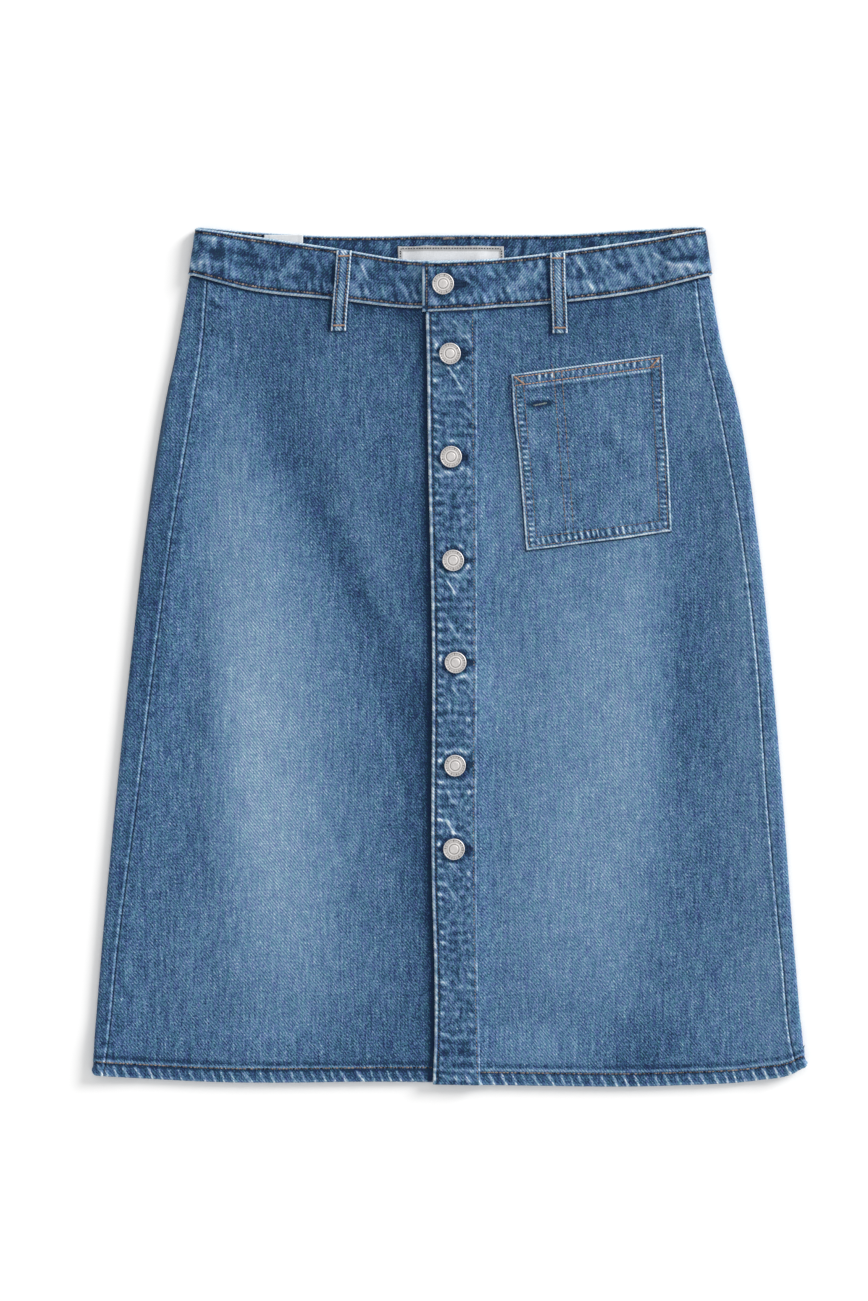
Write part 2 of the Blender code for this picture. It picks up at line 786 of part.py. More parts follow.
def add_buttons_and_holes(waistband, right_panel, placket):
    """The seven buttons, and the buttonholes of the layers that they come through."""
    holes = []
    for number, place in enumerate(PLACKET_BUTTONS, start=2):
        foot = stand_surface(place)
        add_button(f"button_{number}", place, placket_surface(place), foot)
        holes.append((place, PLACKET_SLIT_END, foot - DENIM))
    cutter = add_cutter("placket_buttonhole_cutter", holes)
    cut(right_panel, cutter)
    cut(placket, cutter)

    share = 0.5
    foot = band_surface(WAIST_BUTTON.x, share)
    surface = band_over_surface(WAIST_BUTTON.x, share)
    add_button("button_1", WAIST_BUTTON, surface, foot)
    low = foot + 0.5 * GAP + lift(WAIST_BUTTON.x, WAIST_BUTTON.y)
    cut(waistband, add_cutter("waistband_buttonhole_cutter", [(WAIST_BUTTON, BAND_SLIT_END, low)]))


def main():
    for thing in list(bpy.data.objects):
        bpy.data.objects.remove(thing)
    add_back_panel()
    add_front_left_panel()
    right_panel = add_front_right_panel()
    placket = add_placket()
    waistband = add_waistband()
    add_pocket()
    for loop in FRONT_LOOPS:
        add_front_loop(loop)
    for loop in BACK_LOOPS:
        add_back_loop(loop)
    for box in LABELS:
        add_label(box)
    add_buttons_and_holes(waistband, right_panel, placket)


main()
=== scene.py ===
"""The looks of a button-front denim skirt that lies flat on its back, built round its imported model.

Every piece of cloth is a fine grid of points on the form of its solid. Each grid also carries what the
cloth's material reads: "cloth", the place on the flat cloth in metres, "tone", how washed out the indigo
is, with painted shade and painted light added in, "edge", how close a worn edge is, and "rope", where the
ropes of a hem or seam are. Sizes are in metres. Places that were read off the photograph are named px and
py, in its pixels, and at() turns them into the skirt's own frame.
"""

import math
from collections import namedtuple

import bpy
import numpy as np
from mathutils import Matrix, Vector
from mathutils.bvhtree import BVHTree


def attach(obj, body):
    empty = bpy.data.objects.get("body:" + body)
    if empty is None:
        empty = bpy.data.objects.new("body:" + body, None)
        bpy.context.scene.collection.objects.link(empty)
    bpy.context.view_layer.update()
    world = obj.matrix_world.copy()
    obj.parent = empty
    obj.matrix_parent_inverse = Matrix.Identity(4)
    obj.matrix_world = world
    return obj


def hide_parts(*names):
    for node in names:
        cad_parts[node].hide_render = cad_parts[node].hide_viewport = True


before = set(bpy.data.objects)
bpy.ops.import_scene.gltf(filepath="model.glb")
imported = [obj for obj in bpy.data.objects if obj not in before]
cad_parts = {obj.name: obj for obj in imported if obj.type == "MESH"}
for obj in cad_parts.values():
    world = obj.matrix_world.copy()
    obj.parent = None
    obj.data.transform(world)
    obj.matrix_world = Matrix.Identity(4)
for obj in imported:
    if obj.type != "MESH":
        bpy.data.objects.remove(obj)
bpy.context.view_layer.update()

MM = 0.001
# A length that stands in for zero where it divides.
TINY = 1e-9

# The photograph's scale: the size of one of its pixels, and the pixel that lies on the origin.
PIXEL = 0.775 * MM
ORIGIN_PX = 449.7
ORIGIN_PY = 656.5
IMAGE_WIDTH = 868
IMAGE_HEIGHT = 1301

# Thickness of the cloth, the gap at its seams, and the room between front and back, as in the solids.
DENIM = 1.0 * MM
HEM_CLOTH = 2.4 * MM
STRIP = 1.2 * MM
LOOP = 1.6 * MM
POCKET_HEM = 1.8 * MM
LABEL = 0.9 * MM
BAND = 2.4 * MM
GAP = 0.3 * MM
LIE = 0.4 * MM

PANEL_LENGTH = 0.610
HEM_HEIGHT = 17.0 * MM
BACK_HEM_SHORT = 1.0 * MM
LEFT_HEM_SHORT = 1.9 * MM
STAND_EXTRA = 0.8 * MM
STAND_EXTRA_AT_HEM = 0.3 * MM
STAND_END = 18.0 * MM
OVERLAP_END = 36.0 * MM
OVER_DROP_AT_SEAM = 3.2 * MM
OVER_DROP_AT_TOP = 0.9 * MM
OVER_DROP_REACH = (10.0 * MM, 45.0 * MM)

FOLD_HEIGHT = 5.9 * MM
FOLD_HEIGHT_AT_HEM = 8.0 * MM
BAND_FOLD_HEIGHT = 8.0 * MM
FOLD_INSET = 4.0 * MM
SIDE_SETTLE = 50.0 * MM
WAIST_SUPPORT = 2.6 * MM
WAIST_SETTLE = 45.0 * MM
HEM_SETTLE = 34.5 * MM
BAND_ROOM = LABEL + 2 * GAP

BAND_OVER_END = -21.2 * MM
BAND_UNDER_END = 16.5 * MM
BAND_OVERLAP_END = 38.5 * MM

LOOP_WIDTH = 11.7 * MM
LOOP_LENGTH = 62.0 * MM
LOOP_SLACK = 1.0 * MM
BACK_LOOP_TOP = 0.8 * MM
LIFT = LOOP + GAP
LIFT_RAMP = 14.0 * MM
LIFT_FULL_ABOVE = 0.2620
LIFT_NONE_BELOW = 0.2450

BUTTON_RADIUS = 8.65 * MM

# The skirt's outline, as in the solids.
SideRow = namedtuple("SideRow", "height left left_inset right_inset right")
SIDES = (
    SideRow(0.2964, -0.2017, 0.0140, 0.0105, 0.2017),
    SideRow(0.2530, -0.2090, 0.0181, 0.0120, 0.2087),
    SideRow(0.1910, -0.2214, 0.0214, 0.0132, 0.2234),
    SideRow(0.0980, -0.2354, 0.0202, 0.0105, 0.2374),
    SideRow(0.0050, -0.2462, 0.0183, 0.0093, 0.2475),
    SideRow(-0.1112, -0.2586, 0.0163, 0.0108, 0.2575),
    SideRow(-0.2275, -0.2695, 0.0120, 0.0085, 0.2664),
    SideRow(-0.3050, -0.2757, 0.0105, 0.0078, 0.2747),
    SideRow(-0.3243, -0.2772, 0.0093, 0.0070, 0.2789),
)
HemRow = namedtuple("HemRow", "x height")
HEM = (
    HemRow(-0.2772, -0.3243),
    HemRow(-0.2480, -0.3263),
    HemRow(-0.2013, -0.3290),
    HemRow(-0.0153, -0.3313),
    HemRow(0.0545, -0.3325),
    HemRow(0.1707, -0.3326),
    HemRow(0.2405, -0.3282),
    HemRow(0.2637, -0.3239),
    HemRow(0.2772, -0.3166),
)
WaistRow = namedtuple("WaistRow", "x front_seam front_top back_seam back_top")
WAIST = (
    WaistRow(-0.2032, 0.2958, 0.3323, 0.2962, 0.3336),
    WaistRow(-0.1548, 0.2834, 0.3259, 0.2909, 0.3294),
    WaistRow(-0.0928, 0.2765, 0.3170, 0.2868, 0.3261),
    WaistRow(-0.0215, 0.2694, 0.3066, 0.2866, 0.3266),
    WaistRow(0.0100, 0.2706, 0.3071, 0.2867, 0.3268),
    WaistRow(0.0450, 0.2706, 0.3090, 0.2869, 0.3270),
    WaistRow(0.0855, 0.2738, 0.3137, 0.2872, 0.3273),
    WaistRow(0.1475, 0.2819, 0.3226, 0.2898, 0.3311),
    WaistRow(0.2033, 0.2951, 0.3318, 0.2962, 0.3336),
)
BandEdge = namedtuple("BandEdge", "share left right")
BAND_EDGES = (BandEdge(0.0, -0.2028, 0.2037), BandEdge(1.0, -0.1970, 0.1980))
EdgeRow = namedtuple("EdgeRow", "height over placket_right")
FRONT_EDGE = (
    EdgeRow(0.2654, -0.0181, 0.0215),
    EdgeRow(0.2300, -0.0173, 0.0214),
    EdgeRow(0.1680, -0.0165, 0.0212),
    EdgeRow(0.0050, -0.0133, 0.0212),
    EdgeRow(-0.1600, -0.0137, 0.0208),
    EdgeRow(-0.2660, -0.0113, 0.0222),
    EdgeRow(-0.2980, -0.0115, 0.0231),
    EdgeRow(-0.3320, -0.0129, 0.0239),
)
Corner = namedtuple("Corner", "x y")
POCKET = {
    "top_left": Corner(0.0478, 0.2182),
    "top_right": Corner(0.1645, 0.2337),
    "bottom_left": Corner(0.0599, 0.0825),
    "bottom_right": Corner(0.1715, 0.0973),
}
# The share of the pocket's depth where its hem ends.
POCKET_HEM_ENDS = 0.095
BackLoop = namedtuple("BackLoop", "name x level")
BACK_LOOPS = (
    BackLoop("belt_loop_back_left", -0.1808, 0.0065),
    BackLoop("belt_loop_back", 0.0, 0.0200),
    BackLoop("belt_loop_back_right", 0.1808, 0.0065),
)
FrontLoop = namedtuple("FrontLoop", "name top_x bottom_x")
FRONT_LOOPS = (
    FrontLoop("belt_loop_front_left", -0.0815, -0.0862),
    FrontLoop("belt_loop_front_right", 0.0832, 0.0855),
)
ButtonPlace = namedtuple("ButtonPlace", "node x y turn")
BUTTONS = (
    ButtonPlace("button_1", -0.0052, 0.2879, 0.3),
    ButtonPlace("button_2", 0.0002, 0.2344, 1.1),
    ButtonPlace("button_3", 0.0010, 0.1546, 2.0),
    ButtonPlace("button_4", 0.0026, 0.0744, 0.7),
    ButtonPlace("button_5", 0.0045, -0.0047, 2.6),
    ButtonPlace("button_6", 0.0041, -0.0845, 1.7),
    ButtonPlace("button_7", 0.0033, -0.1492, 0.1),
)
PLACKET_SLIT_END = 15.4 * MM
BAND_SLIT_END = 14.2 * MM
LabelBox = namedtuple("LabelBox", "node left right top height")
LABELS = (
    LabelBox("main_label", -0.0401, 0.0421, 0.3181, 0.0300),
    LabelBox("side_label", -0.1439, -0.1137, 0.3270, 0.0180),
)


# ---------------------------------------------------------------- numbers

def at(px, py):
    """The place on the skirt of a pixel of the photograph."""
    return (px - ORIGIN_PX) * PIXEL, (ORIGIN_PY - py) * PIXEL


def mix(a, b, share):
    """The value at a share of the way from a to b."""
    return a + (b - a) * share


def fade(distance, start, end):
    """1 up to start, 0 from end, and a smooth fall between them."""
    t = np.clip((distance - start) / (end - start), 0.0, 1.0)
    return 0.5 + 0.5 * np.cos(math.pi * t)


def bell(distance, middle, width):
    """1 in the middle, with a smooth fall on both sides."""
    return np.exp(-(((distance - middle) / width) ** 2))


def curve(rows, at_column, column):
    """A function that runs smoothly through the rows' values of one column."""
    points = sorted((getattr(row, at_column), getattr(row, column)) for row in rows)
    places, values = np.array(points).T
    slopes = np.gradient(values, places)

    def value(place):
        place = np.clip(place, places[0], places[-1])
        k = np.clip(np.searchsorted(places, place, side="right") - 1, 0, len(places) - 2)
        span = places[k + 1] - places[k]
        t = (place - places[k]) / span
        start = values[k] * (1 + 2 * t) * (1 - t) ** 2 + slopes[k] * span * t * (1 - t) ** 2
        end = values[k + 1] * t**2 * (3 - 2 * t) + slopes[k + 1] * span * t**2 * (t - 1)
        return start + end

    return value


# How many random values there are before they repeat, and the same for the rows of a cloud. From row to row
# a cloud's noise is shifted along by this many of its sizes.
PICKS = 1024
CLOUD_ROWS = 97
CLOUD_SHIFT = 31.7


def pick(number, seed):
    """A random value from -1 to 1 for each whole number."""
    values = np.random.default_rng(seed).uniform(-1, 1, PICKS)
    return values[np.asarray(number).astype(int) % PICKS]


def noise(along, size, seed):
    """Smooth random values from -1 to 1 along a line, one to each stretch of this size."""
    place = along / size
    k = np.floor(place)
    t = place - k
    return mix(pick(k, seed), pick(k + 1, seed), t * t * (3 - 2 * t))


def cloud(x, y, size, seed):
    """Smooth random values from -1 to 1 over a surface."""
    place = y / size
    k = np.floor(place)
    t = place - k
    low, high = (noise(x + size * CLOUD_SHIFT * (row % CLOUD_ROWS), size, seed) for row in (k, k + 1))
    return mix(low, high, t * t * (3 - 2 * t))


def lengths_along(points):
    """How far along a path each of its points lies."""
    return np.concatenate([[0], np.cumsum(np.linalg.norm(np.diff(points, axis=0), axis=1))])


def sample(values, lengths, wanted):
    """The values at the wanted lengths along a path, from those at its points."""
    return np.stack([np.interp(wanted, lengths, column) for column in np.asarray(values).T], axis=-1)


def window(distance, start, end, soft):
    """1 between two distances and 0 outside them, with a soft rise and fall."""
    return fade(start - distance, -soft, 0) * fade(distance, end, end + soft)


def pucker(along, across, pitch, reach, seed):
    """Folds that cross a seam, from -1 in their troughs to 1 on their ridges, uneven in every way."""
    phase = along / pitch + 0.38 * noise(along, 2.3 * pitch, seed)
    length = reach * (0.70 + 0.30 * noise(phase, 1.0, seed + 1))
    strength = 0.72 + 0.28 * noise(phase, 0.8, seed + 2)
    return np.cos(math.tau * phase) * strength * fade(across, 0.3 * length, length)


def ladder(along, inward, rows, pitch, tail, seed):
    """Puckers between two rows of stitches, with weaker tails inside the second row."""
    near, far = rows
    folds = pucker(along, inward - near, pitch, far - near + tail, seed)
    past = mix(0.5, 1.0, fade(inward, far - 0.4 * MM, far + 0.8 * MM))
    return folds * past * fade(near - inward, -0.9 * MM, 0.0)


def mottle(along, across, pitch, seed):
    """Broken, wandering streaks across a strip, from about -0.35 in the dips to 1 on the pale ones."""
    wander = 0.22 * cloud(along, across, 1.9 * pitch, seed) + 0.25 * noise(along, 2.9 * pitch, seed + 1)
    streak = np.clip(np.cos(math.tau * (along / pitch + wander)), -0.6, 1)
    strength = 0.55 + 0.45 * cloud(along, across, 1.5 * pitch, seed + 2)
    return streak * strength


# ---------------------------------------------------------------- the laid skirt's form

left_edge = curve(SIDES, "height", "left")
right_edge = curve(SIDES, "height", "right")
left_inset = curve(SIDES, "height", "left_inset")
right_inset = curve(SIDES, "height", "right_inset")
hem_line = curve(HEM, "x", "height")
front_seam = curve(WAIST, "x", "front_seam")
front_top = curve(WAIST, "x", "front_top")
back_seam = curve(WAIST, "x", "back_seam")
back_top = curve(WAIST, "x", "back_top")
over_edge = curve(FRONT_EDGE, "height", "over")
placket_right = curve(FRONT_EDGE, "height", "placket_right")
band_left = curve(BAND_EDGES, "share", "left")
band_right = curve(BAND_EDGES, "share", "right")


def lift(x, y):
    """How far the belt loops underneath raise the cloth."""
    over = [fade(abs(x - loop.x), loop.level, loop.level + LIFT_RAMP) for loop in BACK_LOOPS]
    return LIFT * np.max(over, axis=0) * fade(-y, -LIFT_FULL_ABOVE, -LIFT_NONE_BELOW)


def waist_support(row):
    """How much the waistband's thickness holds the fronts up."""
    return fade(row * PANEL_LENGTH, 0.0, WAIST_SETTLE)


def hem_support(row):
    """How much the turned hem's thickness holds the fronts up."""
    return fade((1 - row) * PANEL_LENGTH, HEM_HEIGHT, HEM_HEIGHT + HEM_SETTLE)


def side_heights(row):
    """The heights of a row's left and right ends."""
    return [mix(SIDES[0].height, corner.height, row) for corner in (HEM[0], HEM[-1])]


def row_edges(row):
    """The left and right outline on a row."""
    left_y, right_y = side_heights(row)
    return left_edge(left_y), right_edge(right_y)


def row_seams(row):
    """The left and right side seam on a row."""
    left_y, right_y = side_heights(row)
    left, right = row_edges(row)
    return left + left_inset(left_y), right - right_inset(right_y)


def row_of(x, y):
    """The row that passes through a place on the front: 0 at the waistband seam and 1 at the hem line."""
    return (front_seam(x) - y) / (front_seam(x) - hem_line(x))


def from_ends(x, row):
    """How far a place on a row is from the hem line, and from the waistband seam."""
    span = front_seam(x) - hem_line(x)
    return (1 - row) * span, row * span


def front_y(x, row):
    return mix(front_seam(x), hem_line(x), row)


def over_y(x, row):
    """The same on the right front, which lies lower beside the placket."""
    return front_y(x, row) - OVER_DROP_AT_SEAM * fade(x, *OVER_DROP_REACH) * (1 - row)


def back_y(x, row):
    return mix(back_seam(x), hem_line(x) + BACK_HEM_SHORT, row)


def fold_height(row):
    return mix(FOLD_HEIGHT, FOLD_HEIGHT_AT_HEM, hem_support(row))


def front_surface(x, row):
    """How high the top of the left front is."""
    base = DENIM + LIE + DENIM + WAIST_SUPPORT * waist_support(row)
    base = base + 2 * (HEM_CLOTH - DENIM) * hem_support(row)
    left, right = row_edges(row)
    inside = np.minimum(x - left, right - x)
    return base + (fold_height(row) - base) * fade(inside, FOLD_INSET, SIDE_SETTLE)


def over_surface(x, row):
    """How high the top of the right front is, over the left one's stand."""
    extra = mix(STAND_EXTRA, STAND_EXTRA_AT_HEM, hem_support(row))
    return front_surface(x, row) + fade(x, STAND_END, OVERLAP_END) * (extra + GAP + DENIM)


def band_surface(x, share):
    """How high the top of the front waistband is."""
    base = BAND + BAND_ROOM + BAND
    inside = np.minimum(x - band_left(share), band_right(share) - x)
    return base + (BAND_FOLD_HEIGHT - base) * fade(inside, FOLD_INSET, SIDE_SETTLE)


def band_over_surface(x, share):
    """How high it is on its right part, over its under end."""
    return band_surface(x, share) + (BAND + GAP) * fade(x, BAND_UNDER_END, BAND_OVERLAP_END)


# ---------------------------------------------------------------- grids of points

class Grid:
    """Points in rows and columns, with the values that the material reads at each point.

    Where the cloth is roped, as at a hem, rope holds the ropes' phase and how strong they are."""

    def __init__(self, points, tone, edge, cloth=None, rope=None):
        self.points = np.asarray(points, dtype=float)
        shape = self.points.shape[:2]
        self.tone = np.broadcast_to(tone, shape).copy()
        self.edge = np.broadcast_to(edge, shape).copy()
        flat = self.points[..., :2] if cloth is None else cloth
        self.cloth = np.dstack([flat[..., 0], flat[..., 1], np.zeros(shape)])
        self.rope = np.zeros((*shape, 3)) if rope is None else np.dstack([*rope, np.zeros(shape)])

    def add_rows(self, points, tone, edge, cloth):
        below = Grid(points, tone, edge, cloth)
        below.rope = self.rope[-1:]
        for name in ("points", "tone", "edge", "cloth", "rope"):
            setattr(self, name, np.concatenate([getattr(self, name), getattr(below, name)]))


def quads(rows, columns, wrap_rows, flip):
    """The faces between a grid's points."""
    index = np.arange(rows * columns).reshape(rows, columns)
    if wrap_rows:
        index = np.vstack([index, index[:1]])
    corners = [index[:-1, :-1], index[1:, :-1], index[1:, 1:], index[:-1, 1:]]
    if flip:
        corners.reverse()
    return np.stack(corners, axis=-1).reshape(-1, 4)


def make_mesh(name, points, faces, material, values=None):
    """A smooth mesh object of points and faces that all have the same number of corners."""
    mesh = bpy.data.meshes.new(name)
    mesh.vertices.add(len(points))
    mesh.vertices.foreach_set("co", np.asarray(points, dtype=np.float32).ravel())
    corners = faces.shape[1]
    mesh.loops.add(faces.size)
    mesh.loops.foreach_set("vertex_index", faces.astype(np.int32).ravel())
    mesh.polygons.add(len(faces))
    mesh.polygons.foreach_set("loop_start", np.arange(0, faces.size, corners, dtype=np.int32))
    mesh.polygons.foreach_set("loop_total", np.full(len(faces), corners, dtype=np.int32))
    for key, value in (values or {}).items():
        value = np.asarray(value, dtype=np.float32)
        kind = "FLOAT_VECTOR" if value.ndim > 1 else "FLOAT"
        made = mesh.attributes.new(key, kind, "POINT")
        made.data.foreach_set("vector" if value.ndim > 1 else "value", value.ravel())
    mesh.update(calc_edges=True)
    mesh.validate()
    mesh.shade_smooth()
    mesh.materials.append(material)
    made = bpy.data.objects.new(name, mesh)
    bpy.context.scene.collection.objects.link(made)
    return made


def grid_object(name, grid, material, wrap_rows=False, flip=False):
    rows, columns = grid.points.shape[:2]
    values = {
        "tone": grid.tone.ravel(),
        "edge": grid.edge.ravel(),
        "cloth": grid.cloth.reshape(-1, 3),
    }
    if grid.rope.any():
        values["rope"] = grid.rope.reshape(-1, 3)
    faces = quads(rows, columns, wrap_rows, flip)
    return make_mesh(name, grid.points.reshape(-1, 3), faces, material, values)


def spread(left, right, near_left, near_right, middle):
    """Columns from edge to edge of each row: fine steps in from both edges, and even ones between."""
    start = left[:, None] + near_left[None, :]
    end = right[:, None] - near_right[None, ::-1]
    shares = np.linspace(0, 1, middle + 2)[None, 1:-1]
    return np.hstack([start, mix(start[:, -1:], end[:, :1], shares), end])


def spread_once(start, end, near, middle):
    """The same for a single row, with like steps at both edges."""
    return spread(np.full(1, start), np.full(1, end), near, near, middle)[0]


def steps(*stretches):
    """Distances from 0, from pairs of a reach and the step up to it."""
    found = [0.0]
    for reach, step in stretches:
        count = max(1, round((reach - found[-1]) / step))
        found += list(np.linspace(found[-1], reach, count + 1)[1:])
    return np.array(found)


ROLLED_EDGE = steps((0.4 * MM, 0.1 * MM), (1.2 * MM, 0.2 * MM), (3.0 * MM, 0.45 * MM))
SEAM_STEPS = steps((3.0 * MM, 0.4 * MM), (8.0 * MM, 0.7 * MM), (14.0 * MM, 1.2 * MM))
PANEL_DISTANCES = steps(
    (4.0 * MM, 0.5 * MM),
    (26.0 * MM, 1.1 * MM),
    (PANEL_LENGTH - 40.0 * MM, 2.4 * MM),
    (PANEL_LENGTH - 22.0 * MM, 1.2 * MM),
    (PANEL_LENGTH, 0.7 * MM),
)
PANEL_ROWS = PANEL_DISTANCES / PANEL_LENGTH


def rolled(distance, radius, depth):
    """How far cloth falls where it turns down over its edge, by distance from the edge."""
    inside = np.clip(1 - distance / radius, 0, 1)
    return depth * (1 - np.sqrt(1 - inside**2))


def turned_hem(grid, inward, radius, reach=14.0 * MM):
    """Takes a grid's last row round the hem's edge and up again on its inner side."""
    turns = 6
    rows_inside = 4
    last = grid.points[-1]
    tone = grid.tone[-1]
    edge = grid.edge[-1]
    flat = grid.cloth[-1, :, :2]
    down = np.array([0.0, -1.0, 0.0])
    for k in range(1, turns + 1):
        angle = math.pi * k / turns
        points = last + inward * radius * (1 - math.cos(angle)) + down * radius * math.sin(angle)
        cloth = flat - [0, radius * angle]
        grid.add_rows(points[None], (tone + 0.10 * math.sin(angle))[None], edge[None], cloth[None])
    for k in range(1, rows_inside + 1):
        up = reach * k / rows_inside
        points = last + inward * 2 * radius - down * up
        cloth = flat - [0, radius * math.pi + up]
        grid.add_rows(points[None], (tone - 0.05)[None], 0 * edge[None], cloth[None])


# ---------------------------------------------------------------- wash and relief

WASH_SEED = 11
CREASE_SEED = 21
# Where the panels are worn or unworn, and where light and shade are painted: painted light on the lit
# right fold, painted shade on the left fold and painted shadow left of the placket. Each has a middle,
# reaches to each side and up and down, a lean, and a tone.
Zone = namedtuple("Zone", "px py left right half_height lean tone")
LIGHT_AND_WASH_ZONES = (
    Zone(260, 745, 56, 84, 282, 0.10, 0.33),
    Zone(612, 760, 132, 58, 270, -0.05, 0.26),
    Zone(318, 515, 24, 22, 120, 0.50, -0.12),
    Zone(382, 575, 18, 18, 85, 0.44, 0.10),
    Zone(768, 800, 46, 60, 330, 0.10, 0.15),
    Zone(232, 435, 36, 30, 105, -0.10, 0.10),
    Zone(742, 555, 14, 40, 95, 0.12, 0.08),
    Zone(740, 1010, 50, 60, 80, 0.0, 0.06),
    Zone(530, 1050, 34, 44, 24, 0.0, 0.10),
    Zone(515, 485, 26, 30, 60, 0.0, 0.06),
    Zone(248, 1045, 60, 40, 26, 0.0, 0.06),
    Zone(150, 570, 36, 36, 150, -0.22, -0.09),
    Zone(485, 505, 40, 30, 60, 0.0, 0.07),
    Zone(490, 690, 40, 30, 50, 0.0, 0.08),
    Zone(421, 720, 30, 40, 420, 0.02, -0.12),
    Zone(420, 760, 16, 30, 150, 0.0, -0.06),
    Zone(698, 640, 22, 18, 170, 0.14, -0.05),
    Zone(592, 325, 46, 30, 22, 0.0, -0.06),
    Zone(280, 330, 60, 60, 30, 0.0, -0.04),
    Zone(365, 1040, 60, 60, 34, 0.0, -0.07),
    Zone(648, 1045, 40, 30, 30, 0.0, -0.12),
    Zone(705, 365, 36, 34, 85, 0.12, 0.12),
    Zone(412, 440, 14, 20, 60, 0.0, 0.09),
    Zone(412, 640, 10, 20, 30, 0.0, 0.06),
    Zone(300, 1054, 200, 120, 20, 0.0, -0.06),
    Zone(683, 700, 13, 12, 100, 0.0, -0.10),
    Zone(262, 358, 34, 30, 26, 0.0, -0.07),
    Zone(98, 1070, 16, 22, 9, 0.0, 0.13),
    Zone(204, 685, 12, 14, 80, 0.0, -0.06),
    Zone(348, 935, 26, 30, 50, 0.0, -0.05),
    Zone(390, 470, 14, 12, 40, 0.0, -0.06),
    Zone(252, 760, 30, 30, 110, 0.0, 0.04),
    Zone(632, 690, 26, 24, 180, 0.0, 0.04),
    Zone(188, 955, 26, 26, 60, 0.0, 0.06),
    Zone(585, 592, 26, 22, 16, 0.0, -0.05),
)


def wash_and_painted_light(x, y):
    """How much more than usual the indigo is washed out here, with painted light and shade added in."""
    px = x / PIXEL + ORIGIN_PX
    py = ORIGIN_PY - y / PIXEL
    tone = 0.0
    for zone in LIGHT_AND_WASH_ZONES:
        dx = px - zone.px - zone.lean * (py - zone.py)
        across = dx / np.where(dx < 0, zone.left, zone.right)
        down = (py - zone.py) / zone.half_height
        tone = tone + zone.tone * np.exp(-np.abs(across) ** 2.2 - np.abs(down) ** 4)
    soft = 0.022 * cloud(x, y, 22 * MM, WASH_SEED) + 0.018 * cloud(x, y, 9 * MM, WASH_SEED + 1)
    return tone + soft


# A soft ridge, or with a height below 0 a trough, between two places. Width is in pixels, height in mm.
# A dark tone along a trough is painted shade; a pale tone along a ridge is wear.
Crease = namedtuple("Crease", "px0 py0 px1 py1 width height tone")
PANEL_CREASES = (
    Crease(262, 370, 345, 560, 22, -1.1, -0.10),
    Crease(335, 540, 420, 760, 22, -1.0, -0.08),
    Crease(350, 430, 400, 560, 26, 0.9, 0.03),
    Crease(215, 420, 215, 1020, 16, -0.8, -0.03),
    Crease(238, 400, 262, 640, 20, 0.8, 0.02),
    Crease(690, 420, 702, 760, 20, -0.9, -0.05),
    Crease(640, 600, 640, 900, 24, 0.7, 0.0),
    Crease(530, 620, 500, 1000, 26, -0.6, -0.01),
    Crease(300, 330, 250, 420, 16, -0.5, -0.02),
    Crease(480, 330, 515, 352, 3.0, 0.25, 0.10),
    Crease(484, 322, 530, 338, 3.0, 0.25, 0.08),
    Crease(478, 345, 500, 372, 3.0, 0.2, 0.06),
    Crease(211, 293, 222, 307, 1.4, 0.25, 0.28),
    Crease(209, 301, 224, 310, 2.8, -0.3, -0.34),
    Crease(209, 331, 216, 334, 3.0, -0.3, -0.14),
    Crease(208, 337, 216, 341, 2.0, 0.2, 0.10),
    Crease(214, 288, 240, 308, 3.0, 0.2, 0.10),
    Crease(196, 300, 188, 345, 4.0, 0.25, 0.05),
    Crease(350, 310, 422, 322, 6.0, -0.3, -0.11),
    Crease(570, 318, 660, 302, 6.0, -0.3, -0.05),
    Crease(712, 300, 722, 345, 4.0, 0.25, 0.06),
    Crease(700, 286, 706, 300, 3.0, 0.25, 0.10),
    Crease(175, 560, 168, 640, 5.0, 0.3, 0.05),
    Crease(160, 690, 150, 760, 5.0, 0.3, 0.04),
    Crease(748, 470, 742, 540, 4.0, -0.3, -0.04),
    Crease(101, 1013, 112, 1004, 2.2, 0.25, 0.09),
    Crease(99, 1027, 111, 1018, 2.2, -0.3, -0.12),
    Crease(98, 1037, 110, 1027, 2.0, 0.25, 0.09),
    Crease(97, 1049, 108, 1039, 2.4, -0.3, -0.12),
    Crease(96, 1057, 106, 1051, 2.2, 0.25, 0.10),
    Crease(116, 988, 134, 1000, 5.0, -0.3, -0.07),
    Crease(114, 1014, 124, 1036, 5.0, -0.3, -0.07),
)
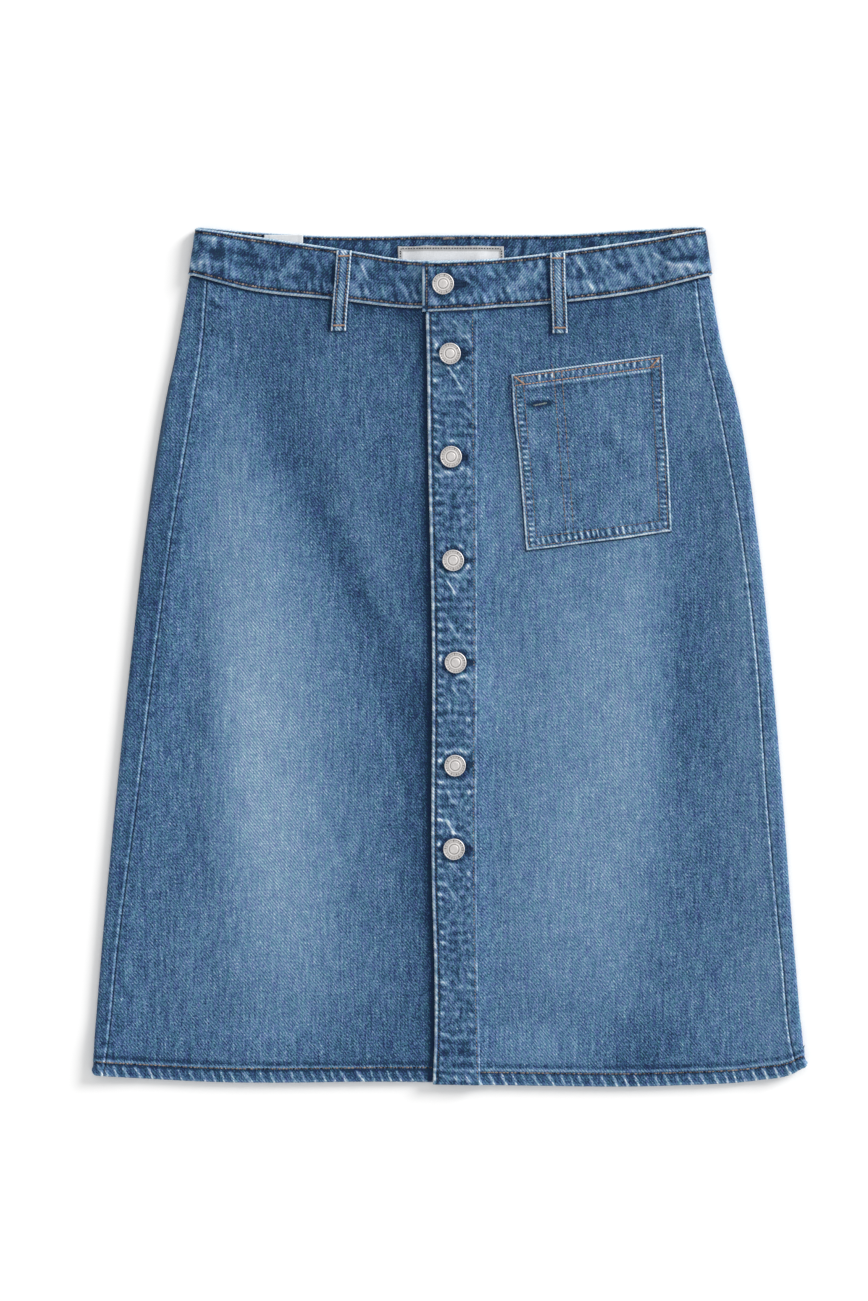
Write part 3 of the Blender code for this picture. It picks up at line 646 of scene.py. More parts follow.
PLACKET_CREASES = (
    Crease(445, 364, 464, 394, 1.1, 0.35, 0.24),
    Crease(445, 577, 456, 596, 1.1, 0.35, 0.26),
    Crease(454, 575, 465, 585, 1.6, 0.3, 0.14),
    Crease(448, 621, 465, 645, 1.8, 0.3, 0.14),
    Crease(452, 687, 460, 697, 1.6, 0.3, 0.16),
    Crease(448, 699, 449, 716, 1.4, 0.3, 0.12),
    Crease(445, 786, 453, 803, 1.5, 0.3, 0.18),
    Crease(452, 802, 462, 806, 1.4, 0.25, 0.10),
    Crease(444.5, 817, 454, 836, 1.6, 0.35, 0.22),
    Crease(446, 884, 457, 903, 1.5, 0.3, 0.18),
    Crease(452, 866, 462, 876, 1.5, 0.25, 0.12),
    Crease(447, 318, 470, 336, 1.8, 0.3, 0.12),
    Crease(455, 330, 474, 348, 1.8, 0.3, 0.10),
    Crease(440, 474, 452, 476, 2.0, 0.3, 0.12),
    Crease(462, 470, 474, 478, 2.0, 0.3, 0.12),
    Crease(449, 970, 462, 990, 1.6, 0.25, 0.08),
    Crease(446, 1030, 458, 1052, 1.8, 0.25, 0.08),
    Crease(462, 500, 466, 540, 2.0, 0.25, 0.05),
    Crease(452, 480, 450, 530, 2.2, -0.25, -0.06),
    Crease(456, 600, 458, 640, 2.2, -0.2, -0.05),
    Crease(455, 910, 458, 1000, 2.6, -0.2, -0.05),
    Crease(436, 1050, 478, 1048, 8.0, -0.15, -0.09),
    Crease(440, 1074, 476, 1075, 4.5, 0.1, 0.05),
    Crease(440, 930, 450, 934, 2.6, 0.25, 0.06),
    Crease(440, 978, 450, 980, 2.6, 0.25, 0.06),
)
BAND_CREASES = (
    Crease(357, 258, 369, 283, 1.5, 0.35, 0.17),
    Crease(577, 261, 587, 276, 1.5, 0.35, 0.15),
    Crease(605, 261, 617, 275, 1.5, 0.35, 0.15),
    Crease(586, 279, 594, 291, 1.5, 0.3, 0.13),
    Crease(651, 252, 664, 262, 1.6, 0.35, 0.13),
    Crease(664, 262, 678, 268, 1.8, 0.3, 0.10),
    Crease(571, 266, 576, 277, 1.5, 0.3, 0.12),
    Crease(662, 259, 709, 256, 3.2, -0.5, -0.15),
    Crease(614, 267, 636, 267, 2.6, -0.4, -0.08),
    Crease(192, 251, 222, 254, 2.6, -0.5, -0.11),
    Crease(231, 262, 237, 276, 2.0, 0.25, 0.05),
    Crease(214, 262, 217, 275, 2.0, 0.25, 0.05),
    Crease(248, 266, 252, 280, 2.0, 0.25, 0.05),
    Crease(224, 251, 262, 257, 2.2, -0.35, -0.10),
    Crease(192, 262, 240, 270, 3.0, 0.3, 0.10),
    Crease(198, 236, 236, 246, 2.4, 0.3, 0.08),
    Crease(676, 264, 708, 268, 3.0, 0.35, 0.10),
    Crease(400, 262, 396, 292, 2.0, 0.3, 0.08),
    Crease(470, 275, 486, 296, 2.4, -0.3, -0.10),
    Crease(449, 298, 456, 305, 1.4, 0.3, 0.14),
    Crease(430, 288, 436, 308, 4.5, 0.2, 0.09),
    Crease(684, 242, 708, 246, 5.0, 0.2, 0.06),
    Crease(190, 237, 218, 242, 3.6, 0.2, 0.07),
    Crease(190, 266, 218, 271, 4.0, 0.2, 0.05),
    Crease(464, 277, 474, 287, 1.3, 0.3, 0.12),
    Crease(517, 272, 530, 287, 1.6, 0.3, 0.09),
    Crease(540, 262, 534, 276, 1.6, 0.3, 0.07),
    Crease(505, 268, 512, 300, 2.0, 0.25, 0.06),
)
POCKET_CREASES = (
    Crease(585, 372, 592, 398, 1.6, 0.25, 0.07),
    Crease(575, 374, 578, 392, 1.4, 0.2, 0.06),
    Crease(627, 368, 631, 384, 1.5, 0.2, 0.06),
    Crease(600, 420, 640, 490, 8.0, -0.3, -0.03),
    Crease(527, 405.5, 554, 402.5, 3.2, -0.4, -0.27),
    Crease(529, 398, 552, 399, 1.4, 0.25, 0.08),
    Crease(533, 412, 547, 414, 1.4, 0.25, 0.08),
    Crease(557, 400, 557, 540, 3.0, 0.25, 0.03),
    Crease(544, 450, 549, 520, 3.0, -0.2, -0.03),
)


def relief(x, y, creases):
    """The height and tone that the listed creases give the cloth."""
    height = np.zeros(np.shape(x))
    tone = np.zeros(np.shape(x))
    for number, crease in enumerate(creases):
        x0, y0 = at(crease.px0, crease.py0)
        x1, y1 = at(crease.px1, crease.py1)
        length = math.hypot(x1 - x0, y1 - y0)
        across_x, across_y = (y1 - y0) / length, -(x1 - x0) / length
        along = ((x - x0) * (x1 - x0) + (y - y0) * (y1 - y0)) / length**2
        bow = 0.05 * length * pick(number, CREASE_SEED) * np.sin(math.pi * np.clip(along, 0, 1))
        across = ((x - x0) * across_x + (y - y0) * across_y + bow) / (crease.width * PIXEL)
        ends = fade(np.abs(along - 0.5), 0.22, 0.62)
        shape = np.exp(-(across**2)) * ends
        height += crease.height * MM * shape
        tone += crease.tone * shape
    return height, tone


def seam_side(distance, along, pale, seed):
    """Cloth beside a side seam: a groove, then a worn ridge."""
    broken = 0.80 + 0.20 * noise(along, 3.1 * MM, seed)
    long_fade = 0.78 + 0.22 * noise(along, 60 * MM, seed + 1)
    tucks = pucker(along, distance, 8.5 * MM, 9 * MM, seed + 2)
    height = -1.0 * MM * fade(distance, 0, 1.3 * MM) + 0.30 * MM * bell(distance, 2.2 * MM, 1.5 * MM)
    height = height + 0.22 * MM * tucks * fade(-distance, -1.5 * MM, 0)
    ridge = bell(distance, 1.3 * MM, 0.65 * MM) * long_fade
    tone = 1.1 * pale * broken * ridge
    tone = tone - 0.26 * fade(distance, 0.1 * MM, 0.7 * MM) - 0.08 * bell(distance, 4.6 * MM, 2.4 * MM)
    phase = (along + 0.8 * distance) / (2.6 * MM) + 0.4 * noise(along, 24 * MM, seed + 3)
    return height, tone + 0.14 * tucks, (phase, 0.75 * pale * ridge)


def join_ropes(first, second):
    """Of two kinds of rope, whichever is the stronger at each point."""
    stronger = first[1] >= second[1]
    return np.where(stronger, first[0], second[0]), np.where(stronger, first[1], second[1])


HEM_STITCH = 9.8 * MM
HEM_LIP = HEM_STITCH + 2.2 * MM
HEM_SHADE = HEM_STITCH + 5.0 * MM
ROPE_PITCH = 8.6 * MM


def hem_side(distance, along, seed):
    """Cloth near the hem: the stitched groove, darkened with painted shade, the worn lip above it, painted
    shade in the dip above the lip, and the ropes' phase and strength.
    """
    phase = (along + 0.38 * distance) / ROPE_PITCH + 0.45 * noise(along, 21 * MM, seed)
    strength = fade(distance, HEM_STITCH - 1.4 * MM, HEM_STITCH + 0.2 * MM)
    strength = strength * (0.74 + 0.26 * noise(phase, 0.9, seed + 1))
    above = pucker(along + 0.6 * distance, distance - HEM_LIP, ROPE_PITCH, 14 * MM, seed + 2)
    above = above * fade(HEM_LIP - distance, -2 * MM, 0)
    height = 0.40 * MM * np.cos(math.tau * phase) * strength + 0.18 * MM * above
    height = height - 0.30 * MM * bell(distance, HEM_STITCH, 0.9 * MM)
    height = height + 0.25 * MM * bell(distance, HEM_LIP, 1.0 * MM)
    height = height - 0.15 * MM * bell(distance, HEM_SHADE, 2 * MM)
    shade = 0.22 + 0.10 * noise(along, 15 * MM, seed + 4) + 0.05 * noise(along, 4 * MM, seed + 5)
    tone = 0.09 * above - shade * bell(distance, HEM_SHADE, 1.9 * MM)
    tone = tone + 0.38 * bell(distance, HEM_LIP, 1.1 * MM) * (0.75 + 0.25 * noise(along, 3 * MM, seed + 3))
    tone = tone - 0.42 * bell(distance, HEM_STITCH - 0.2 * MM, 1.2 * MM) + 0.14 * fade(distance, 0, 2.2 * MM)
    return height, tone, (phase, strength)


def waist_side(distance, along, seed):
    """Cloth just below the waistband: puckers, and a painted shadow under the band's edge."""
    tucks = pucker(along, distance, 11 * MM, 16 * MM, seed)
    height = 0.22 * MM * tucks - 0.25 * MM * fade(distance, 0, 3 * MM)
    uneven = 0.35 + 0.85 * noise(along, 17 * MM, seed + 3)
    shade = 0.16 * uneven * fade(distance, 1 * MM, 11 * MM) + 0.42 * fade(distance, 0.5 * MM, 2.6 * MM)
    return height, 0.09 * tucks - shade


# ---------------------------------------------------------------- materials

# A low sun and the sky, and how bright a level white surface is under both.
SUN_HEIGHT = math.radians(21)
SUN_TURN = math.radians(34)
SUN_SOFTNESS = math.radians(24)
SUN_STRENGTH = 3.5
SKY_STRENGTH = 0.76
LIGHT_LEVEL = SKY_STRENGTH + SUN_STRENGTH * math.sin(SUN_HEIGHT) / math.pi


def albedo(*shades):
    """The surface colour that shows on the screen as these shades, from 0 to 255, in this scene's light."""
    found = []
    for shade in shades:
        value = shade / 255
        shown = value / 12.92 if value <= 0.04045 else ((value + 0.055) / 1.055) ** 2.4
        found.append(shown / LIGHT_LEVEL)
    return (*found, 1.0)


class Nodes:
    """Short ways to add and join shader nodes."""

    def __init__(self, name):
        self.material = bpy.data.materials.new(name)
        self.material.use_nodes = True
        self.tree = self.material.node_tree
        self.shader = self.tree.nodes["Principled BSDF"]

    def add(self, kind, inputs=None, **settings):
        made = self.tree.nodes.new(kind)
        for key, value in settings.items():
            setattr(made, key, value)
        for key, value in (inputs or {}).items():
            self.put(made.inputs[key], value)
        return made

    def put(self, socket, value):
        if isinstance(value, bpy.types.NodeSocket):
            self.tree.links.new(value, socket)
        else:
            socket.default_value = value

    def math(self, operation, a, b=0.0, c=0.0):
        made = self.add("ShaderNodeMath", operation=operation)
        for socket, value in zip(made.inputs, (a, b, c)):
            self.put(socket, value)
        return made.outputs[0]

    def total(self, *terms):
        """The sum of pairs of a value and its weight."""
        result = 0.0
        for value, weight in terms:
            result = self.math("MULTIPLY_ADD", value, weight, result)
        return result

    def attribute(self, name, output="Fac"):
        return self.add("ShaderNodeAttribute", attribute_name=name).outputs[output]

    def noise(self, coordinates, sizes, detail=2.0, roughness=0.6, turn=0.0):
        """Noise from -1 to 1 whose grains have these sizes in metres, turned by an angle."""
        place = self.add(
            "ShaderNodeMapping",
            {"Vector": coordinates, "Rotation": (0, 0, turn), "Scale": (*sizes, 1.0)},
            vector_type="TEXTURE",
        )
        made = self.add(
            "ShaderNodeTexNoise",
            {"Vector": place.outputs[0], "Scale": 1.0, "Detail": detail, "Roughness": roughness},
            noise_dimensions="2D",
        )
        return self.math("MULTIPLY_ADD", made.outputs[0], 2.0, -1.0)

    def ramp(self, value, stops):
        made = self.add("ShaderNodeValToRGB", {"Fac": value})
        bands = made.color_ramp.elements
        bands[0].position, bands[0].color = stops[0]
        bands[1].position, bands[1].color = stops[-1]
        for position, colour in stops[1:-1]:
            bands.new(position).color = colour
        return made.outputs[0]

    def bump(self, height, distance, strength=1.0):
        made = self.add("ShaderNodeBump", {"Height": height, "Distance": distance, "Strength": strength})
        self.put(self.shader.inputs["Normal"], made.outputs[0])


# Indigo denim from unworn to bare white yarn.
INDIGO = (
    (0.00, albedo(8, 42, 76)),
    (0.18, albedo(34, 74, 114)),
    (0.40, albedo(69, 109, 148)),
    (0.60, albedo(102, 138, 173)),
    (0.76, albedo(135, 164, 190)),
    (0.90, albedo(174, 197, 214)),
    (1.00, albedo(216, 228, 236)),
)
TWILL_PITCH = 1.85 * MM
TWILL_TURN = math.radians(40)


def uneven_hue(n, cloth):
    """Indigo dyes a little unevenly: some yarns lean to violet and some to teal."""
    yarns = n.noise(cloth, (1.9 * MM, 2.3 * MM), 1.0)
    streaks = n.noise(cloth, (3.2 * MM, 26 * MM), 2.0)
    patches = n.noise(cloth, (7 * MM, 9 * MM), 2.0)
    return n.math("ADD", n.total((yarns, 0.036), (streaks, 0.026), (patches, 0.020)), 0.5)


def worn_ropes(n):
    """Ropes: worn crests on the folds' tops, and unworn cloth between them."""
    roping = n.add("ShaderNodeSeparateXYZ", {0: n.attribute("rope", "Vector")})
    turn = n.math("COSINE", n.math("MULTIPLY", roping.outputs[0], math.tau))
    crest = n.math("POWER", n.math("MAXIMUM", turn, 0.0), 2.2)
    return n.math("MULTIPLY", n.math("MULTIPLY_ADD", crest, 1.50, -0.48), roping.outputs[1])


def denim(name, tone=0.33, grain=1.0, twill=1.0):
    """Washed denim: twill lines, yarn grain and slubs over the cloth's tone, with roped worn edges."""
    n = Nodes(name)
    cloth = n.attribute("cloth", "Vector")
    wander = n.noise(cloth, (6 * MM, 9 * MM), 1.0)
    across = (math.cos(TWILL_TURN), math.sin(TWILL_TURN), 0)
    line = n.add("ShaderNodeVectorMath", {0: cloth, 1: across}, operation="DOT_PRODUCT")
    phase = n.math("MULTIPLY", line.outputs["Value"], math.tau / TWILL_PITCH)
    phase = n.math("MULTIPLY_ADD", wander, 1.6, phase)
    lines = n.math("SINE", phase)
    flecks = n.noise(cloth, (1.05 * MM, 2.3 * MM), 2.0, 0.7, TWILL_TURN)
    fine = n.noise(cloth, (1.25 * MM, 1.35 * MM), 2.0, 0.8)
    slubs = n.noise(cloth, (1.5 * MM, 32 * MM), 2.0, 0.6)
    wefts = n.noise(cloth, (20 * MM, 1.3 * MM), 1.0, 0.5)
    patches = n.noise(cloth, (6 * MM, 9 * MM), 2.0, 0.6)
    rope_line = n.add("ShaderNodeVectorMath", {0: cloth, 1: (1.0, 1.0, 0)}, operation="DOT_PRODUCT")
    rope = n.math("SINE", n.math("MULTIPLY", rope_line.outputs["Value"], math.tau / (2.9 * MM)))
    edge = n.attribute("edge")
    roped = n.math("MULTIPLY", rope, edge)
    # Washed-out cloth has less contrast between its yarns.
    washed = n.math("MULTIPLY_ADD", n.attribute("tone"), -2.0, 1.27)
    evened = n.math("MULTIPLY_ADD", edge, -0.60, 1.0)
    contrast = n.math("MINIMUM", n.math("MAXIMUM", washed, 0.50), 1.30)
    contrast = n.math("MULTIPLY", contrast, evened)
    lines = n.math("MULTIPLY", lines, evened)
    grains = (flecks, fine, slubs, patches)
    flecks, fine, slubs, patches = (n.math("MULTIPLY", grain_layer, contrast) for grain_layer in grains)
    total = n.total(
        (n.attribute("tone"), 1.0),
        (lines, 0.12 * twill),
        (flecks, 0.41 * grain),
        (fine, 0.39 * grain),
        (slubs, 0.20),
        (wefts, 0.08),
        (patches, 0.13),
        (roped, 0.04),
        (edge, 0.32),
        (worn_ropes(n), 0.42),
    )
    total = n.math("ADD", total, tone)
    colour = n.ramp(total, INDIGO)
    dyed = n.add("ShaderNodeHueSaturation", {"Hue": uneven_hue(n, cloth), "Color": colour})
    n.put(n.shader.inputs["Base Color"], dyed.outputs[0])
    height = n.total((lines, 0.30 * twill), (flecks, 0.9), (fine, 0.6), (slubs, 0.35), (roped, 0.4))
    n.bump(height, 0.22 * MM)
    n.put(n.shader.inputs["Roughness"], n.math("MULTIPLY_ADD", flecks, 0.06, 0.88))
    n.shader.inputs["Specular IOR Level"].default_value = 0.18
    n.shader.inputs["Sheen Weight"].default_value = 0.10
    n.shader.inputs["Sheen Roughness"].default_value = 0.6
    return n.material


def thread(name, dark, light, darker=0.0):
    """Sewing thread: twisted plies, a little uneven in colour, and the darker, the rarer its light places."""
    n = Nodes(name)
    place = n.attribute("cloth", "Vector")
    plies = n.add("ShaderNodeVectorMath", {0: place, 1: (1.0, 0.7, 0)}, operation="DOT_PRODUCT")
    twist = n.math("SINE", n.math("MULTIPLY", plies.outputs["Value"], math.tau / (0.55 * MM)))
    uneven = n.noise(place, (2 * MM, 2 * MM), 2.0)
    total = n.total((twist, 0.12), (uneven, 1.5))
    shade = n.math("ADD", total, 0.5 - darker)
    n.put(n.shader.inputs["Base Color"], n.ramp(shade, ((0.0, albedo(*dark)), (1.0, albedo(*light)))))
    n.bump(twist, 0.10 * MM, 0.8)
    n.shader.inputs["Roughness"].default_value = 0.75
    n.shader.inputs["Specular IOR Level"].default_value = 0.12
    return n.material


def metal(name):
    """Warm nickel, a little blotched, with dark tarnish where the tone is low."""
    n = Nodes(name)
    place = n.attribute("cloth", "Vector")
    blotches = n.noise(place, (2.4 * MM, 2.4 * MM), 3.0, 0.65)
    scuffs = n.noise(place, (0.7 * MM, 3.3 * MM), 2.0, 0.6, 0.6)
    total = n.total((n.attribute("tone"), 1.0), (blotches, 0.10), (scuffs, 0.05))
    stops = (
        (0.0, albedo(48, 46, 46)),
        (0.45, albedo(146, 142, 140)),
        (1.0, albedo(246, 243, 242)),
    )
    n.put(n.shader.inputs["Base Color"], n.ramp(total, stops))
    n.put(n.shader.inputs["Roughness"], n.math("MULTIPLY_ADD", blotches, 0.08, 0.60))
    n.bump(n.total((blotches, 0.6), (scuffs, 0.5)), 0.04 * MM, 0.7)
    n.shader.inputs["Metallic"].default_value = 1.0
    return n.material


def label_cloth(name, frame_shade, middle_shade):
    """Woven label cloth with fine ribs; its tone blends from the frame's shade to the middle's."""
    n = Nodes(name)
    place = n.attribute("cloth", "Vector")
    split = n.add("ShaderNodeSeparateXYZ", {0: place})
    ribs = n.math("SINE", n.math("MULTIPLY", split.outputs[1], math.tau / (0.45 * MM)))
    ends = n.math("SINE", n.math("MULTIPLY", split.outputs[0], math.tau / (0.60 * MM)))
    patches = n.noise(place, (6 * MM, 6 * MM), 3.0)
    specks = n.noise(place, (1.1 * MM, 1.1 * MM), 2.0)
    total = n.total((n.attribute("tone"), 1.0), (patches, 0.10), (specks, 0.16), (ribs, 0.03))
    n.put(
        n.shader.inputs["Base Color"],
        n.ramp(total, ((0.0, albedo(*frame_shade)), (1.0, albedo(*middle_shade)))),
    )
    n.bump(n.total((ribs, 0.5), (ends, 0.3), (specks, 0.5)), 0.08 * MM, 0.8)
    n.shader.inputs["Roughness"].default_value = 0.7
    n.shader.inputs["Sheen Weight"].default_value = 0.15
    return n.material


PANEL_DENIM = denim("panel_denim")
BAND_DENIM = denim("waistband_denim", tone=0.32)
STRIP_DENIM = denim("placket_denim", tone=0.32)
POCKET_DENIM = denim("pocket_denim", tone=0.35, grain=1.05)
LOOP_DENIM = denim("belt_loop_denim", tone=0.42, twill=1.6)
COPPER_THREAD = thread("copper_thread", (140, 113, 99), (206, 172, 150))
WORN_THREAD = thread("worn_copper_thread", (56, 68, 86), (172, 155, 146), 0.04)
TAN_THREAD = thread("tan_thread", (84, 94, 110), (188, 168, 154))
BROWN_THREAD = thread("brown_thread", (8, 20, 36), (176, 162, 154), 0.22)
DARK_THREAD = thread("dark_thread", (8, 20, 36), (112, 106, 108), 0.28)
INDIGO_THREAD = thread("indigo_thread", (14, 32, 58), (50, 76, 110))
GREY_THREAD = thread("grey_thread", (14, 18, 24), (78, 82, 88))
PALE_THREAD = thread("pale_thread", (120, 140, 140), (178, 194, 190))
BUTTON_METAL = metal("button_nickel")
MAIN_LABEL_CLOTH = label_cloth("main_label_cloth", (138, 138, 138), (236, 238, 242))
SIDE_LABEL_CLOTH = label_cloth("side_label_cloth", (178, 181, 185), (240, 243, 246))


# ---------------------------------------------------------------- panels

# How far the left front runs on under the placket.
UNDER_PLACKET = 30.0 * MM
# Where the random draws of each panel start, and how pale its worn ridge beside the seam is.
LEFT_SEED = 100
RIGHT_SEED = 200
BACK_SEED = 300
LEFT_PALE = 0.24
RIGHT_PALE = 0.46
BACK_PALE_AT_LEFT = 0.50
BACK_PALE_AT_RIGHT = 0.20
INTO_SKIRT = np.array([0, 0, -1.0])


def add_left_panel():
    rows = PANEL_ROWS
    seam, _ = row_seams(rows)
    edge = over_edge(front_y(0.0, rows))
    x = spread(seam, edge, SEAM_STEPS, steps((12 * MM, 1.2 * MM)), middle=72)
    under = edge[:, None] + UNDER_PLACKET * np.array([[0.1, 0.33, 0.67, 1.0]])
    x = np.hstack([x, under])
    row = np.broadcast_to(rows[:, None], x.shape)
    y = front_y(x, row) + LEFT_HEM_SHORT * row**20 * fade(-x, 0, SIDE_SETTLE * 4)
    under_placket = edge[:, None] - x
    # Painted shadow of the placket's raised left edge on the left front: darkest right beside it and under
    # it, with a broad soft fall beyond.
    dark = 0.62 * fade(under_placket, 1.0 * MM, 4.4 * MM) + 0.12 * fade(under_placket, 3 * MM, 10 * MM)
    z = front_surface(x, row)
    return panel("denim_front_left", x, y, row, z, x - seam[:, None], LEFT_PALE, LEFT_SEED, dark)


def add_right_panel():
    rows = PANEL_ROWS
    _, seam = row_seams(rows)
    edge = over_edge(front_y(0.0, rows))
    ridge = placket_right(front_y(0.0, rows))
    under = mix(edge[:, None] + 0.6 * MM, ridge[:, None] - 4 * MM, np.array([[0.0, 0.02, 0.3, 0.7]]))
    x = spread(ridge - 2 * MM, seam, steps((10 * MM, 0.8 * MM)), SEAM_STEPS, middle=74)
    x = np.hstack([under, x])
    row = np.broadcast_to(rows[:, None], x.shape)
    y = over_y(x, row)
    z = over_surface(x, row)
    z[:, 0] -= DENIM
    return panel("denim_front_right", x, y, row, z, seam[:, None] - x, RIGHT_PALE, RIGHT_SEED, 0.0)


def painted_loop_shadows(x, y):
    """Painted shadow beside the front belt loops, strongest on their left, away from the light."""
    dark = 0.0
    for loop in FRONT_LOOPS:
        share = (front_top(loop.top_x) - y) / LOOP_LENGTH
        out = np.abs(x - mix(loop.top_x, loop.bottom_x, share)) - LOOP_WIDTH / 2
        left = x < loop.top_x
        side = np.where(left, fade(out, 1.2 * MM, 4.4 * MM), 0.4 * fade(out, 0.4 * MM, 2.4 * MM))
        dark = dark + 0.42 * side * window(share, -0.02, 1.0, 0.04)
    return dark


def broad_relief(x, y, seed):
    """The panels' creases and soft waves, which fade out towards the waistband and the hem."""
    height, tone = relief(x, y, PANEL_CREASES)
    soft = 0.25 * MM * cloud(x, y, 42 * MM, seed + 30) + 0.10 * MM * cloud(x, y, 17 * MM, seed + 31)
    inner = math.prod(fade(-distance, -30 * MM, -8 * MM) for distance in from_ends(x, row_of(x, y)))
    return (height + soft) * inner, tone


Borders = namedtuple("Borders", "seam_height hem_height waist_height tone rope")


def panel_borders(x, y, row, seam_distance, pale, seed):
    """What the side seam, the hem and the waistband do to a panel."""
    from_hem, from_waist = from_ends(x, row)
    seam_height, seam_tone, seam_rope = seam_side(seam_distance, y, pale, seed)
    hem_height, hem_tone, hem_rope = hem_side(from_hem, x, seed + 10)
    waist_height, waist_tone = waist_side(from_waist, x, seed + 20)
    tone = seam_tone * (1 - 0.85 * fade(from_hem, 3 * MM, 10 * MM)) + hem_tone + waist_tone
    return Borders(seam_height, hem_height, waist_height, tone, join_ropes(hem_rope, seam_rope))


def hemmed_grid(points, tone, from_hem, inward, rope, cloth=None):
    """A panel's grid, drawn in by half the hem's thickness at its lower edge, with the hem turned up."""
    radius = HEM_CLOTH / 2
    points[..., 1] += radius * fade(from_hem, 0, 6 * MM)
    grid = Grid(points, tone, 0.20 * fade(from_hem, 0, 1.2 * MM), cloth, rope)
    turned_hem(grid, inward, radius)
    return grid


def panel(name, x, y, row, z, seam_distance, pale, seed, dark):
    """One of the fronts, from its grid, its distance from the side seam, and the painted shadow that darkens
    it.
    """
    broad_height, crease_tone = broad_relief(x, y, seed)
    borders = panel_borders(x, y, row, seam_distance, pale, seed)
    z = z + lift(x, y) + broad_height + borders.seam_height + borders.hem_height + borders.waist_height
    # The tone holds painted light and shade: the lit and shaded folds in the zones, the placket's painted
    # shadow, and the belt loops' painted shadows.
    tone = wash_and_painted_light(x, y) + crease_tone + borders.tone - dark - painted_loop_shadows(x, y)
    grid = hemmed_grid(np.dstack([x, y, z]), tone, from_ends(x, row)[0], INTO_SKIRT, borders.rope)
    return grid_object(name, grid, PANEL_DENIM)


FOLD_TURNS = 14
# How far the cloth swells out at the folds, and how much the hem rises on their outermost line.
LEFT_SWELL = 0.4 * MM
RIGHT_SWELL = 1.4 * MM
CORNER_RISE = 2.2 * MM
# The stretch beside a side seam that has the seam's fine steps.
NEAR_SEAM = 6 * MM
# How far aside the weave's place is shifted on the side that the skirt lies on.
UNDERSIDE_SHIFT = 1.7
# Creases on the side that the skirt lies on.
BACK_CREASES = (
    Crease(250, 420, 330, 700, 22, 0.5, -0.05),
    Crease(560, 400, 620, 690, 24, 0.5, -0.05),
    Crease(430, 330, 400, 560, 20, 0.45, -0.04),
    Crease(300, 720, 260, 960, 22, 0.5, -0.05),
    Crease(520, 720, 560, 980, 22, 0.45, -0.04),
    Crease(690, 520, 700, 860, 18, 0.5, -0.05),
    Crease(450, 640, 470, 900, 26, 0.4, -0.03),
)


def side_fold(sign):
    """The back's cloth at one side, in two parts: on the front from the seam in, then round the fold.

    A part is its x, y and z, its columns' directions into the skirt, and the distance from the seam."""
    rows = PANEL_ROWS[:, None]
    side = 0 if sign < 0 else 1
    seam = row_seams(rows)[side]
    top = row_edges(rows)[side] - sign * FOLD_INSET
    reach = np.abs(seam - top)
    near = SEAM_STEPS[SEAM_STEPS < NEAR_SEAM]
    distance = reach * np.concatenate([0.5 * near / NEAR_SEAM, np.linspace(0.5, 1.0, 7)[1:]])
    x = seam + sign * distance
    row = np.broadcast_to(rows, x.shape)
    flat = (x, front_y(x, row), front_surface(x, row), INTO_SKIRT[None], distance)
    angles = np.linspace(math.pi / 2, -math.pi / 2, FOLD_TURNS + 1)[1:-1]
    down_panel = rows * PANEL_LENGTH
    swell = (RIGHT_SWELL if sign > 0 else LEFT_SWELL) * window(down_panel, 60 * MM, 575 * MM, 30 * MM)
    middle = 0.5 * front_surface(top, rows)
    x = top + sign * (FOLD_INSET + swell) * np.cos(angles)
    y = mix(back_y(top, rows), front_y(top, rows), 0.5 + 0.5 * np.sin(angles))
    y = y + CORNER_RISE * np.cos(angles) ** 3 * fade(PANEL_LENGTH - down_panel, 0, 8 * MM)
    z = middle + middle * np.sin(angles)
    inward = np.stack([-sign * np.cos(angles), 0 * angles, -np.sin(angles)], axis=-1)
    return flat, (x, y, z, inward, reach + middle * (math.pi / 2 - angles))


def floor_side():
    """The back's cloth between the two folds, on the surface."""
    rows = PANEL_ROWS[:, None]
    left, right = row_edges(rows)
    x = mix(left + FOLD_INSET, right - FOLD_INSET, np.linspace(0, 1, 170))
    y = back_y(x, rows)
    far_from_seams = np.full(x.shape, 100 * MM)
    return x, y, lift(x, y), -INTO_SKIRT[None], far_from_seams


def mirrored(part):
    """The same part of the back with its columns the other way round."""
    x, y, z, inward, distance = part
    return x[:, ::-1], y[:, ::-1], z[:, ::-1], inward[::-1], distance[:, ::-1]


